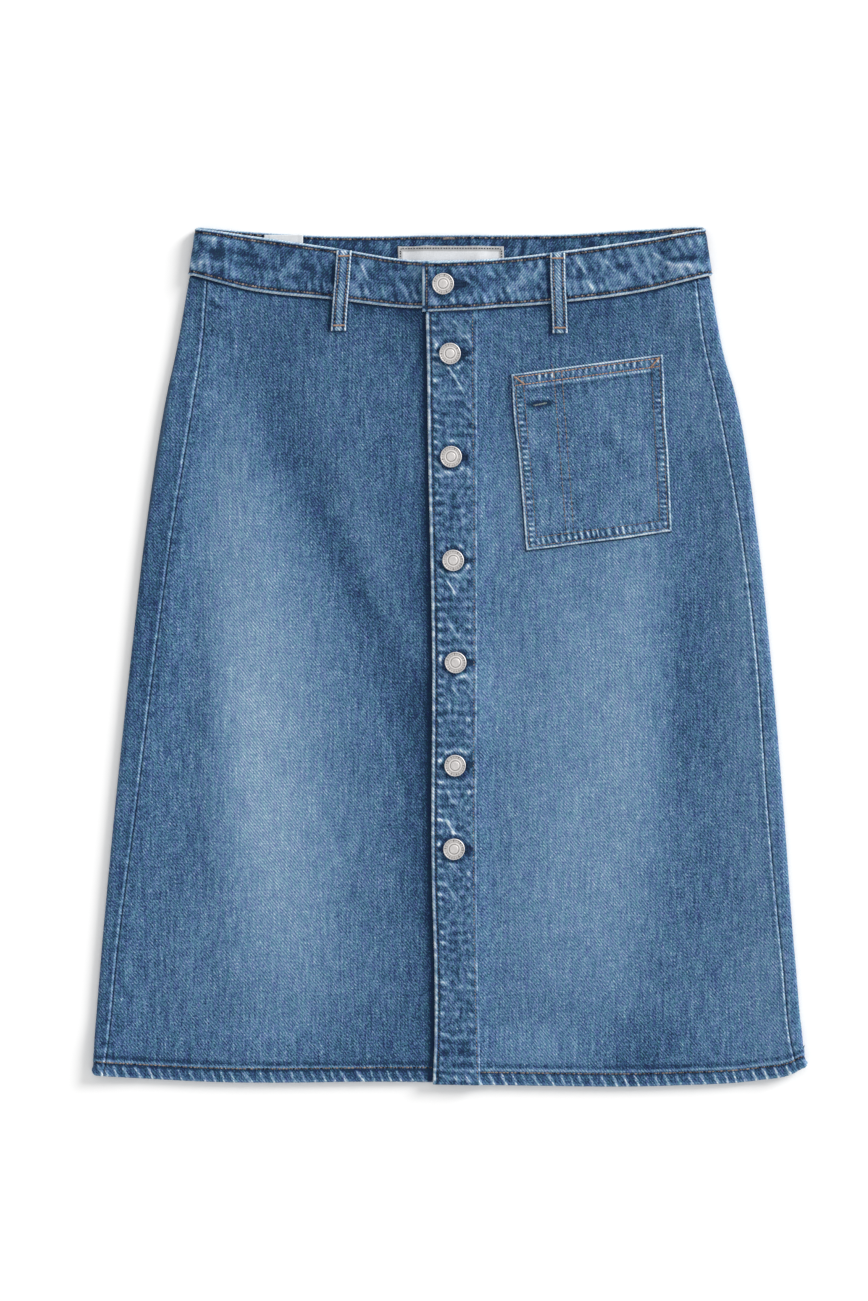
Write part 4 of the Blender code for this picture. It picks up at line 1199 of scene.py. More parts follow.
def add_back_panel():
    """The back: from the left seam round the left fold, along the surface, and round to the right seam."""
    left_flat, left_fold = side_fold(-1)
    right_flat, right_fold = side_fold(1)
    parts = (left_flat, left_fold, floor_side(), mirrored(right_fold), mirrored(right_flat))
    x, y, z, seam_distance = (np.hstack([part[k] for part in parts]) for k in (0, 1, 2, 4))
    inward = np.vstack([np.broadcast_to(part[3], (part[0].shape[1], 3)) for part in parts])
    row = np.broadcast_to(PANEL_ROWS[:, None], x.shape)
    from_hem, from_waist = from_ends(x, row)
    on_top = fade(seam_distance, 18 * MM, 40 * MM)
    underneath = 1 - on_top
    crease_height, crease_tone = relief(x, y, PANEL_CREASES)
    back_height, back_tone = relief(x, y, BACK_CREASES)
    pale = np.where(x < 0, BACK_PALE_AT_LEFT, BACK_PALE_AT_RIGHT)
    borders = panel_borders(x, y, row, seam_distance, pale, BACK_SEED)
    out = crease_height * on_top + borders.seam_height + borders.waist_height * on_top
    out = out + borders.hem_height * mix(0.4, 1.0, on_top)
    raised = 0.5 * MM * np.clip(cloud(x, y, 60 * MM, BACK_SEED + 30), 0, 1) + back_height
    inner = fade(-from_hem, -50 * MM, -20 * MM) * fade(-from_waist, -60 * MM, -20 * MM)
    step = 0.6 * MM * fade(from_waist, 0, 12 * MM) * underneath
    points = np.dstack([x, y, z + lift(x, y) * on_top + step])
    points -= inward * (out * on_top)[..., None]
    points[..., 2] += underneath * (inner * raised + 0.8 * np.clip(-borders.hem_height, 0, 1))
    tone = borders.tone + (crease_tone + wash_and_painted_light(x, y)) * on_top
    tone = tone + underneath * (0.5 * wash_and_painted_light(x, y) + back_tone) - 0.02
    cloth = np.dstack([x + underneath * UNDERSIDE_SHIFT, y])
    grid = hemmed_grid(points, tone, from_hem, inward, borders.rope, cloth)
    return grid_object("denim_back", grid, PANEL_DENIM, flip=True)


# ---------------------------------------------------------------- placket and pocket

# Where the random draws of the placket and of the pocket start.
PLACKET_SEED = 400
POCKET_SEED = 500
PLACKET_ROWS = 860
PLACKET_STITCH_LEFT = 3.3 * MM


def placket_row_inset(y):
    """How far inside the placket's right edge its row of stitches is: it runs closer lower down."""
    return 2.4 * MM + 1.5 * MM * fade(front_seam(0) - y, 0, 190 * MM)


def around_buttons(x, y):
    """Round the placket's buttons: the sunk cloth, darkened partly by painted shade and partly by wear, the
    worn rings, and the dark ends of the buttonholes.
    """
    halo = 0.0
    rings = 0.0
    notch = 0.0
    for place in BUTTONS[1:]:
        dx = x - place.x
        dy = y - place.y
        stretched = np.hypot(dx / np.where(dx > 0, 1.35, 1.0), dy)
        halo = halo + fade(stretched, 8.5 * MM, 13.5 * MM)
        arc = bell(np.hypot(dx, dy), 12.0 * MM, 1.6 * MM)
        rings = rings + arc * np.clip(cloud(dx, dy + place.y, 5.0 * MM, PLACKET_SEED + 40) + 0.25, 0, 1)
        wedge = fade(np.abs(dy) / np.clip(17.5 * MM - dx, MM, None), 0.22, 0.60)
        notch = notch + wedge * window(dx, 5 * MM, 13 * MM, 2 * MM)
    return halo, rings, notch


def two_sided(folds, pale, power, dark):
    """The tone of puckers: pale on their ridges, the more sharply the higher the power, and dark between."""
    return pale * np.clip(folds, 0, 1) ** power + dark * np.clip(folds, -1, 0)


def add_placket():
    """The strip over the fronts' edge, puckered along both sides and worn round its buttons."""
    rows = np.linspace(0, 1, PLACKET_ROWS)
    middle_y = front_y(0.0, rows)
    left = over_edge(middle_y) - 0.3 * MM
    right = placket_right(middle_y)
    x = spread(left, right, ROLLED_EDGE, ROLLED_EDGE, middle=44)
    row = np.broadcast_to(rows[:, None], x.shape)
    y = over_y(x, row)
    from_left = x - left[:, None]
    from_right = right[:, None] - x
    from_hem, from_waist = from_ends(x, row)
    bars = pucker(y + 0.22 * from_left, from_left - 4.0 * MM, 7.9 * MM, 12 * MM, PLACKET_SEED + 1)
    bars = bars * fade(-from_left, -5.0 * MM, -3.8 * MM)
    marks = pucker(y + 0.4 * from_left, from_right - 4.0 * MM, 9.4 * MM, 9 * MM, PLACKET_SEED + 11)
    marks = marks * fade(-from_right, -5.5 * MM, -4.2 * MM)
    blotches = cloud(x * 1.5, y, 3.4 * MM, PLACKET_SEED + 21)
    blotches = blotches + 0.8 * mottle(y, x, 8.0 * MM, PLACKET_SEED + 23)
    crease_height, crease_tone = relief(x, y, PLACKET_CREASES)
    hem_height, hem_tone, rope = hem_side(from_hem, x, PLACKET_SEED + 30)
    rope = (rope[0], 0.5 * rope[1])
    halo, rings, notch = around_buttons(x, y)
    groove_left = bell(from_left, 3.4 * MM, 0.7 * MM)
    groove_right = bell(from_right, placket_row_inset(y), 0.7 * MM)
    z = over_surface(x, row) + GAP + STRIP + lift(x, y)
    z = z - rolled(from_left, 1.0 * MM, STRIP + GAP + DENIM) - rolled(from_right, 0.9 * MM, STRIP + GAP)
    z = z + 0.28 * MM * (bars + marks) + 0.20 * MM * blotches + crease_height + 0.6 * hem_height
    z = z + 0.25 * MM * bell(from_left, 1.9 * MM, 1.2 * MM) - 0.30 * MM * (groove_left + groove_right)
    z = z - 0.35 * MM * halo + 0.25 * MM * rings - 0.20 * MM * notch
    tone = 0.5 * wash_and_painted_light(x, y) + 0.01 + two_sided(bars, 0.62, 1.5, 0.20) + two_sided(marks, 0.44, 1.5, 0.12)
    tone = tone + 0.20 * blotches + 2.6 * crease_tone
    tone = tone - 0.24 * halo + 0.60 * rings - 0.50 * notch + 0.6 * hem_tone
    worn = 0.75 + 0.25 * noise(y, 3 * MM, PLACKET_SEED + 50)
    tone = tone + 0.26 * fade(from_left, 1.8 * MM, 2.6 * MM)
    tone = tone + 0.17 * worn * fade(from_right, 1.0 * MM, 2.0 * MM)
    # Painted shade: the darkening at the stitch grooves, and a painted shadow of the waistband's over end
    # across the placket's top.
    tone = tone - 0.45 * groove_left - 0.10 * groove_right - 0.10 * fade(from_waist, 0, 8 * MM)
    tone = tone - 0.35 * fade(from_waist, 0.5 * MM, 2.6 * MM)
    edge = 0.9 * fade(from_left, 1.6 * MM, 2.8 * MM) + 0.2 * fade(from_right, 1.0 * MM, 2.2 * MM)
    radius = (STRIP + DENIM) / 2
    y = y + radius * fade(from_hem, 0, 6 * MM)
    grid = Grid(np.dstack([x, y, z]), tone, edge, rope=rope)
    turned_hem(grid, INTO_SKIRT, radius, reach=6 * MM)
    return grid_object("denim_placket", grid, STRIP_DENIM)


def pocket_place(across, down):
    """A place on the pocket by shares of its width and depth."""
    top = [mix(left, right, across) for left, right in zip(POCKET["top_left"], POCKET["top_right"])]
    low = [mix(left, right, across) for left, right in zip(POCKET["bottom_left"], POCKET["bottom_right"])]
    return [mix(high, deep, down) for high, deep in zip(top, low)]


POCKET_WIDTH = math.dist(POCKET["top_left"], POCKET["top_right"])
POCKET_DEPTH = math.dist(POCKET["top_left"], POCKET["bottom_left"])
PEN_SLOT = (0.279 * POCKET_WIDTH, 0.332 * POCKET_WIDTH)
SIDE_ROWS = (2.3 * MM, 8.7 * MM)
TOP_ROWS = (2.2 * MM, 8.6 * MM)
# How far the pocket's soft edge bulges past its solid, and how far past that a painted shadow reaches, a dark
# rim of the pocket's grid lying on the right front.
POCKET_BULGE = 0.8 * MM
POCKET_SHADOW_REACH = 0.7 * MM


def pocket_tucks(x, y, from_left, from_right, from_top, from_bottom, slot):
    """The puckers between the pocket's twin rows, and those that cross the pen slot."""
    below_hem = fade(TOP_ROWS[1] - from_top, -1.0 * MM, 0.0)
    tucks = ladder(y, from_left, SIDE_ROWS, 4.3 * MM, 5 * MM, POCKET_SEED + 11) * below_hem
    tucks = tucks + ladder(y, from_right, SIDE_ROWS, 4.3 * MM, 5 * MM, POCKET_SEED + 21) * below_hem
    tucks = tucks + 1.1 * ladder(x + 0.25 * y, from_bottom, SIDE_ROWS, 4.8 * MM, 12 * MM, POCKET_SEED + 31)
    across_hem = ladder(x, from_top, TOP_ROWS, 4.6 * MM, 3 * MM, POCKET_SEED + 41)
    tucks = tucks + 1.3 * across_hem * fade(from_top, 8 * MM, 9 * MM)
    tucks = tucks + 0.6 * pucker(y, slot, 4.6 * MM, 4.5 * MM, POCKET_SEED + 51) * below_hem
    return tucks, below_hem


def add_pocket():
    """The patch pocket, with a soft edge that bulges over the right front."""
    edges = steps((2.8 * MM, 0.2 * MM), (4.8 * MM, 0.4 * MM))
    reach = POCKET_BULGE + POCKET_SHADOW_REACH
    width = POCKET_WIDTH + POCKET_BULGE
    columns = spread_once(-reach, width, edges, middle=166)
    rows = spread_once(-POCKET_BULGE, POCKET_DEPTH + reach, edges, middle=212)
    across, down = np.meshgrid(columns / POCKET_WIDTH, rows / POCKET_DEPTH)
    x, y = pocket_place(across, down)
    from_left = across * POCKET_WIDTH
    from_right = (1 - across) * POCKET_WIDTH
    from_top = down * POCKET_DEPTH
    from_bottom = (1 - down) * POCKET_DEPTH
    # The edges wander a little, as soft cloth does.
    beside = fade(from_left, 0, 20 * MM) + fade(from_right, 0, 20 * MM)
    x = x + 0.5 * MM * noise(y, 31 * MM, POCKET_SEED + 1) * beside
    y = y + 0.4 * MM * noise(x, 27 * MM, POCKET_SEED + 2) * fade(from_bottom, 0, 20 * MM)
    sides = np.minimum(np.minimum(from_left, from_right), from_bottom)
    nearest = np.minimum(sides, from_top) + POCKET_BULGE
    row = row_of(x, y)
    thickness = mix(DENIM, POCKET_HEM, fade(down, POCKET_HEM_ENDS, POCKET_HEM_ENDS + 0.012))
    thickness = mix(thickness, POCKET_HEM, 0.55 * fade(sides, 8.5 * MM, 10.0 * MM))
    slot = np.minimum(np.abs(from_left - PEN_SLOT[0]), np.abs(from_left - PEN_SLOT[1]))
    tucks, below_hem = pocket_tucks(x, y, from_left, from_right, from_top, from_bottom, slot)
    lip_start = TOP_ROWS[1] + 0.5 * MM
    teeth = pucker(x, 0 * x, 2.6 * MM, 5 * MM, POCKET_SEED + 45)
    teeth = teeth * window(from_top, lip_start, 11 * MM, 1.2 * MM)
    lip = window(from_top, lip_start, 10.8 * MM, 1.6 * MM) * fade(-sides, -12 * MM, -8 * MM)
    rows_at = sum(bell(sides, d, 0.8 * MM) for d in SIDE_ROWS)
    rows_at = rows_at + sum(bell(from_top, d, 0.8 * MM) for d in TOP_ROWS)
    rows_at = np.clip(rows_at + 0.3 * bell(slot, 0, 0.7 * MM) * below_hem, 0, 1)
    under, _ = broad_relief(x, y, RIGHT_SEED)
    crease_height, crease_tone = relief(x, y, POCKET_CREASES)
    z = over_surface(x, row) + under + GAP + thickness + lift(x, y)
    z = z - rolled(nearest, 0.8 * MM, thickness + GAP)
    z = z + 0.28 * MM * tucks + 0.20 * MM * (teeth + lip) - 0.32 * MM * rows_at + crease_height
    z = z + 0.18 * MM * bell(nearest, 1.5 * MM, 0.9 * MM)
    patchy = cloud(x, y, 2.8 * MM, POCKET_SEED + 62) * fade(sides, 9 * MM, 14 * MM)
    tucks = tucks * (0.85 + 0.35 * cloud(x, y, 6 * MM, POCKET_SEED + 63))
    # The darkening at the rows of stitches is painted shade in their grooves.
    tone = 0.07 + 0.35 * wash_and_painted_light(x, y) - 0.20 * rows_at + 2.4 * crease_tone + 0.14 * patchy
    tone = tone + two_sided(tucks, 0.66, 1.3, 0.26)
    tone = tone - 0.07 * fade(np.abs(from_left - 42 * MM), 14 * MM, 30 * MM)
    tone = tone + 0.22 * teeth + 0.34 * lip + 0.06 * cloud(x, y, 12 * MM, POCKET_SEED + 61)
    # Painted shadow at the pocket's edge: the rim of its grid that lies on the right front beyond the bulge
    # is dark.
    tone = tone - 0.70 * fade(nearest, -0.2 * MM, 0.3 * MM)
    tone = tone + 0.36 * window(nearest, 0.2 * MM, 1.4 * MM, 0.5 * MM)
    # Painted shade under the pocket's top hem: broad, then a dark line below its lip.
    tone = tone - 0.06 * fade(sides, 6 * MM, 13 * MM) - 0.10 * window(from_top, 11 * MM, 14 * MM, 9 * MM)
    tone = tone - 0.20 * bell(from_top, 13 * MM, 1.3 * MM) * (0.6 + 0.4 * noise(x, 8 * MM, POCKET_SEED + 64))
    grid = Grid(np.dstack([x, y, z]), tone, 0.55 * window(nearest, 0.0, 1.2 * MM, 0.9 * MM))
    return grid_object("denim_pocket", grid, POCKET_DENIM)


# ---------------------------------------------------------------- waistband

# The waistband's stretches. A station along it is one of these and a share of its length.
FRONT_LEFT, LEFT_FOLD, BACK, RIGHT_FOLD, FRONT_RIGHT = range(5)
Stations = namedtuple("Stations", "kind t")
FRONT_RIGHT_LENGTH = 0.222


def band_stations():
    """The places along the waistband, from its under end round the back to its over end."""
    hidden = np.linspace(-0.20, 0.0, 8)[:-1]
    left = np.concatenate([hidden, np.linspace(0, 1, 190)])
    fold = np.linspace(0, 1, FOLD_TURNS + 3)[1:-1]
    back = np.linspace(0, 1, 300)
    end = steps((0.6 * MM, 0.15 * MM), (1.5 * MM, 0.3 * MM), (4 * MM, 0.5 * MM))[::-1]
    end = 1 - end / FRONT_RIGHT_LENGTH
    right = np.concatenate([np.linspace(0, end[0], 218)[:-1], end])
    stretches = (left, fold, back, fold, right)
    kind = np.concatenate([np.full(len(t), number) for number, t in enumerate(stretches)])
    return Stations(kind, np.concatenate(stretches))


STATIONS = band_stations()


def band_sides(share):
    """The waistband's outer and inner face at one share of its height, at every station."""
    kind, t = STATIONS
    left = float(band_left(share))
    right = float(band_right(share))
    x_left = mix(BAND_OVER_END, left + FOLD_INSET, t)
    x_back = mix(left + FOLD_INSET, right - FOLD_INSET, t)
    x_right = mix(right - FOLD_INSET, BAND_OVER_END, t)

    def y_front(x):
        return mix(front_seam(x) + GAP, front_top(x), share)

    def y_over(x):
        return y_front(x) - mix(OVER_DROP_AT_SEAM, OVER_DROP_AT_TOP, share) * fade(x, *OVER_DROP_REACH)

    def y_back(x):
        return mix(back_seam(x) + GAP, back_top(x), share)

    outer = np.zeros((len(t), 3))
    inner = np.zeros((len(t), 3))

    def flat(which, x, y, z, z_inner):
        here = kind == which
        outer[here] = np.stack([x, y, z + lift(x, y)], axis=-1)[here]
        inner[here] = np.stack([x, y, z_inner + lift(x, y)], axis=-1)[here]

    low, high = band_surface(x_left, share), band_over_surface(x_right, share)
    flat(FRONT_LEFT, x_left, y_front(x_left), low, low - BAND)
    flat(BACK, x_back, y_back(x_back), 0 * x_back, 0 * x_back + BAND)
    flat(FRONT_RIGHT, x_right, y_over(x_right), high, high - BAND)

    for which, edge, sign, turn in ((LEFT_FOLD, left, -1, t), (RIGHT_FOLD, right, 1, 1 - t)):
        here = kind == which
        angle = math.pi * (0.5 - turn)
        top_x = edge - sign * FOLD_INSET
        high = float(band_surface(top_x, share)) + float(lift(top_x, y_front(top_x)))
        low = float(lift(top_x, y_back(top_x)))
        middle = 0.5 * (high + low)
        reach = 0.5 * (high - low)
        y = mix(y_back(top_x), y_front(top_x), 0.5 + 0.5 * np.sin(angle))
        for side, thickness in ((outer, 0.0), (inner, BAND)):
            x = top_x + sign * np.cos(angle) * (FOLD_INSET - thickness)
            z = middle + np.sin(angle) * (reach - thickness)
            side[here] = np.stack([x, y, z], axis=-1)[here]
    return outer, inner


def band_lengths():
    outer, inner = band_sides(0.5)
    return lengths_along(0.5 * (outer + inner))


BAND_ALONG = band_lengths()
BAND_HEIGHT = 40.3 * MM
BAND_STITCH = 3.3 * MM
BACK_STITCH = 2.3 * MM
# Where the random draws of the waistband's two faces start.
OUTSIDE_SEED = 600
INSIDE_SEED = 700


def band_tucks(height, seed):
    """The puckers along the waistband's two edges, and its faint slanting folds."""
    level = np.full(len(BAND_ALONG), height)
    low = mottle(BAND_ALONG - 0.25 * level, level, 6.4 * MM, seed) * fade(height, 10 * MM, 20 * MM)
    high = mottle(BAND_ALONG - 0.35 * level, level, 7.8 * MM, seed + 10)
    high = high * fade(BAND_HEIGHT - height, 12 * MM, 24 * MM)
    lean = BAND_ALONG - 0.8 * height
    slants = np.sin(math.tau * (lean / (10.8 * MM) + 0.4 * noise(lean, 23 * MM, seed + 2)))
    slants = slants * cloud(BAND_ALONG, level, 9 * MM, seed + 3)
    return low + high * np.where(STATIONS.kind == FRONT_LEFT, 0.6, 1.0), slants


def around_band_button(x, y):
    """The sunk cloth round the waistband's button, darkened partly by painted shade and partly by wear, and
    the dark end of its buttonhole.
    """
    dx = x - BUTTONS[0].x
    dy = y - BUTTONS[0].y
    wedge = fade(np.abs(dy) / np.clip(23 * MM - dx, MM, None), 0.20, 0.42)
    return fade(np.hypot(dx, dy), 8.5 * MM, 14 * MM), wedge * window(dx, 6 * MM, 18 * MM, 3 * MM)


def band_point(height, depth):
    """The waistband's surface at a height above its lower edge; depth runs from 1, outside, to -1, inside.

    It gives the points of all stations, the tone and how close an edge is."""
    kind = STATIONS.kind
    outside = depth > 0
    outer, inner = band_sides(height / BAND_HEIGHT)
    middle = 0.5 * (outer + inner)
    half = 0.5 * (outer - inner)
    x, y = middle[:, 0], middle[:, 1]
    seed = OUTSIDE_SEED if outside else INSIDE_SEED
    level = np.full(len(kind), height)
    from_high = BAND_HEIGHT - height
    from_end = BAND_ALONG[-1] - BAND_ALONG
    ends = np.minimum(BAND_ALONG, from_end)
    squeeze = np.sqrt(1 - np.clip(1 - ends / (1.1 * MM), 0, 1) ** 2)
    nearest = np.minimum(min(height, from_high), ends)
    over_part = kind == FRONT_RIGHT
    front = over_part | (kind == FRONT_LEFT)
    inner_back = (kind == BACK) & (not outside)
    tucks, slants = band_tucks(height, seed)
    high_row = np.where(inner_back, BACK_STITCH, BAND_STITCH)
    rows_at = bell(height, BAND_STITCH, 1.3 * MM) + bell(from_high, high_row, 1.3 * MM)
    rows_at = np.clip(rows_at + bell(from_end, BAND_STITCH, 1.0 * MM), 0, 1)
    crease_height, crease_tone = (value * front * outside for value in relief(x, y, BAND_CREASES))
    halo, slit = (value * over_part for value in around_band_button(x, y))
    inside = fade(-nearest, -4 * MM, -1.5 * MM)
    out = (0.26 * MM * tucks + 0.12 * MM * slants + crease_height) * inside
    out = out + 0.30 * MM * bell(nearest, 1.7 * MM, 1.1 * MM) - 0.45 * MM * rows_at
    out = out - 0.3 * MM * halo
    # Underneath, on the surface it lies on, the cloth can't bulge out.
    out = np.where((kind == BACK) & outside, np.minimum(out - 0.2 * MM, 0), out)
    out = out * np.sign(depth) * squeeze * min(1.0, abs(depth) * 3)
    direction = half / np.maximum(np.linalg.norm(half, axis=1), TINY)[:, None]
    points = middle + half * (depth * squeeze)[:, None] + direction * out[:, None]
    broad = cloud(BAND_ALONG, level, 11 * MM, seed + 4)
    blots = cloud(1.2 * BAND_ALONG, level, 4.6 * MM, seed + 5)
    rim = fade(nearest, 1.5 * MM, 2.1 * MM)
    worn = 0.25 * tucks + 0.12 * slants + 0.15 * broad + 0.24 * blots + 2.8 * crease_tone
    # The darkening at the rows of stitches is painted shade in their grooves.
    tone = worn * (1 - 0.8 * rim) - 0.75 * rows_at - 0.03
    tone = tone + 0.11 * fade(-x, -140 * MM, -30 * MM) * over_part
    tone = tone - 0.02 * (kind == FRONT_LEFT) * (1 - rim) * fade(x, -105 * MM, -60 * MM)
    # The belt loops' term is painted shadow beside them.
    tone = tone + 0.33 * rim - 0.16 * halo - 0.72 * slit - painted_loop_shadows(x, y) * front * outside
    tone = tone + 0.03 * noise(BAND_ALONG, 25 * MM, seed + 3)
    # The back band's inner face is darker: partly less washed cloth, partly painted shade under the front
    # band.
    tone = tone - 0.13 * inner_back * (1 - 1.6 * rim)
    in_sight = (kind == BACK) != outside
    return points, tone * np.where(in_sight, 1.0, 0.8), 0.80 * fade(nearest, 1.4 * MM, 2.0 * MM)


def add_waistband():
    radius = BAND / 2
    face = spread_once(radius, BAND_HEIGHT - radius, steps((4 * MM, 0.5 * MM)), middle=32)
    turns = np.linspace(0, math.pi, 7)[1:-1]
    section = [(d, 1.0) for d in face]
    section += [(BAND_HEIGHT - radius + radius * math.sin(a), math.cos(a)) for a in turns]
    section += [(d, -1.0) for d in face[::-1]]
    section += [(radius - radius * math.sin(a), -math.cos(a)) for a in turns]
    points, tone, edge = (np.array(values) for values in zip(*(band_point(*place) for place in section)))
    heights = np.array([height if depth > 0 else -height for height, depth in section])
    cloth = np.dstack(np.broadcast_arrays(BAND_ALONG, heights[:, None]))
    grid = Grid(points, tone, edge, cloth)
    return grid_object("denim_waistband", grid, BAND_DENIM, wrap_rows=True)


# ---------------------------------------------------------------- belt loops and labels

def loop_section():
    """The outline of a belt loop's strip: pairs of a place across it and a height from 0 to 1."""
    edge = LOOP / 2
    flat = LOOP_WIDTH / 2 - edge
    across = np.linspace(-flat, flat, 15)
    turns = np.linspace(0, math.pi, 6)[1:-1]
    outline = [(x, 1.0) for x in across]
    outline += [(flat + edge * math.sin(a), 0.5 + 0.5 * math.cos(a)) for a in turns]
    outline += [(x, 0.0) for x in across[::-1]]
    outline += [(-flat - edge * math.sin(a), 0.5 - 0.5 * math.cos(a)) for a in turns]
    return outline


def loop_grid(middle_x, y, low, seed):
    """A belt loop: a doubled strip with rolled edges and closed ends, on a line from its upper end."""
    fine_end = LOOP_LENGTH - 1.6 * MM
    down = steps((0.6 * MM, 0.15 * MM), (1.6 * MM, 0.3 * MM), (fine_end, 0.75 * MM), (LOOP_LENGTH, 0.25 * MM))
    ends = np.minimum(down, LOOP_LENGTH - down)
    squeeze = np.sqrt(1 - np.clip(1 - ends / (0.8 * MM), 0, 1) ** 2)
    points = []
    tones = []
    edges = []
    cloth = []
    for across, share in loop_section():
        x = middle_x(down) + across
        base = low(down)
        from_side = LOOP_WIDTH / 2 - abs(across)
        groove = bell(from_side, 2.3 * MM, 0.8 * MM)
        rim = bell(from_side, 0.8 * MM, 0.7 * MM)
        cap = fade(down, 2.6 * MM, 4.4 * MM) + fade(LOOP_LENGTH - down, 2.0 * MM, 3.2 * MM)
        height = LOOP * mix(0.5, share, squeeze)
        outward = share > 0.5
        height = height + outward * squeeze * (0.12 * MM * rim - 0.16 * MM * groove + 0.15 * MM * cap)
        height = height + outward * 0.05 * MM * noise(down, 2.6 * MM, seed)
        points.append(np.stack([x, y(down), base + height], axis=-1))
        # The darkening in the grooves of the stitch rows is painted shade.
        tone = 0.40 * rim - 0.78 * groove + 0.30 * cap + 0.08 * noise(down, 3.4 * MM, seed + 1)
        tones.append(tone + 0.16 * bell(across, 0, 2.4 * MM))
        edges.append(np.broadcast_to(0.45 * fade(np.float64(from_side), 1.0 * MM, 1.8 * MM), down.shape))
        cloth.append(np.stack([np.full(down.shape, across + seed * 0.1), -down], axis=-1))
    return Grid(np.array(points), np.array(tones), np.array(edges), np.array(cloth))


def add_front_loop(loop, seed):
    top_y = float(front_top(loop.top_x)) - 1.0 * MM
    seam_y = float(front_seam(loop.bottom_x))
    band = float(band_surface(loop.top_x, 0.0))

    def middle_x(down):
        return mix(loop.top_x, loop.bottom_x, down / LOOP_LENGTH) + 0.3 * MM * noise(down, 24 * MM, seed)

    def y(down):
        return top_y - down

    def low(down):
        place = top_y - down
        panel_z = front_surface(middle_x(down), row_of(middle_x(down), np.minimum(place, seam_y)))
        on_band = fade(-(place - seam_y), -1.0 * MM, 9.0 * MM)
        rest = mix(panel_z, band, on_band)
        slack = LOOP_SLACK * np.sin(math.pi * down / LOOP_LENGTH)
        return rest + GAP + slack

    grid = loop_grid(middle_x, y, low, seed)
    name = loop.name.replace("belt_loop", "denim_loop")
    return grid_object(name, grid, LOOP_DENIM, wrap_rows=True, flip=True)


def add_back_loop(loop, seed):
    top_y = float(back_top(loop.x)) - BACK_LOOP_TOP

    def middle_x(down):
        return loop.x + 0 * down

    def y(down):
        return top_y - down

    def low(down):
        return 0 * down

    grid = loop_grid(middle_x, y, low, seed)
    # It lies face down, so its finished side is turned to the surface.
    grid.points[..., 2] = LOOP + 0.05 * MM - grid.points[..., 2]
    grid.points[..., 2] -= min(0.0, grid.points[..., 2].min())
    return grid_object(loop.name.replace("belt_loop", "denim_loop"), grid, LOOP_DENIM, wrap_rows=True)


LABEL_SEED = 800
LABEL_FRAME = 3.4 * MM


def label_grid(box):
    """A blank label on the inner face of the back waistband."""
    edges = steps((0.3 * MM, 0.1 * MM), (1.0 * MM, 0.35 * MM))
    columns = spread_once(box.left, box.right, edges, int((box.right - box.left) / MM))
    rows = spread_once(0.0, box.height, edges, int(box.height / MM))
    x, down = np.meshgrid(columns, rows)
    y = box.top - down
    nearest = np.minimum(np.minimum(x - box.left, box.right - x), np.minimum(down, box.height - down))
    z = BAND + GAP + LABEL + lift(x, y) - rolled(nearest, 0.5 * MM, LABEL)
    z = z + 0.12 * MM * cloud(x, y, 9 * MM, LABEL_SEED + 1) * fade(-nearest, -3 * MM, 0)
    return x, y, z, nearest


def add_main_label():
    x, y, z, nearest = label_grid(LABELS[0])
    x = x + 0.3 * MM * noise(y, 7 * MM, LABEL_SEED + 11) * fade(nearest, 0, 8 * MM)
    y = y + 0.35 * MM * noise(x, 9 * MM, LABEL_SEED + 12) * fade(nearest, 0, 8 * MM)
    z = z - 0.25 * MM * fade(-nearest, -LABEL_FRAME - 0.3 * MM, -LABEL_FRAME)
    tucks = pucker(x, nearest, 4.2 * MM, 4 * MM, LABEL_SEED + 13)
    z = z + 0.10 * MM * tucks
    inside = fade(-nearest, -LABEL_FRAME - 0.5 * MM, -LABEL_FRAME)
    # The dark line at the frame's inner border is a painted shadow of the step down to the middle.
    tone = 0.36 + 0.52 * inside - 0.45 * bell(nearest, LABEL_FRAME, 0.45 * MM) + 0.10 * tucks
    return grid_object("label_main", Grid(np.dstack([x, y, z]), tone, 0), MAIN_LABEL_CLOTH)


def add_side_label():
    box = LABELS[1]
    x, y, z, _ = label_grid(box)
    groove = bell(np.minimum(x - box.left, box.right - x), LABEL_FRAME, 0.5 * MM)
    z = z - 0.15 * MM * groove
    tone = 0.68 - 0.30 * groove + 0.06 * noise(x, 4 * MM, LABEL_SEED + 21)
    return grid_object("label_side", Grid(np.dstack([x, y, z]), tone, 0), SIDE_LABEL_CLOTH)


# ---------------------------------------------------------------- buttons

BUTTON_SPOKES = 96
TICKS = 22
TICK_SEED = 900
# The cap's rolled rim stands this much inside its solid.
CAP_SHARE = 0.965
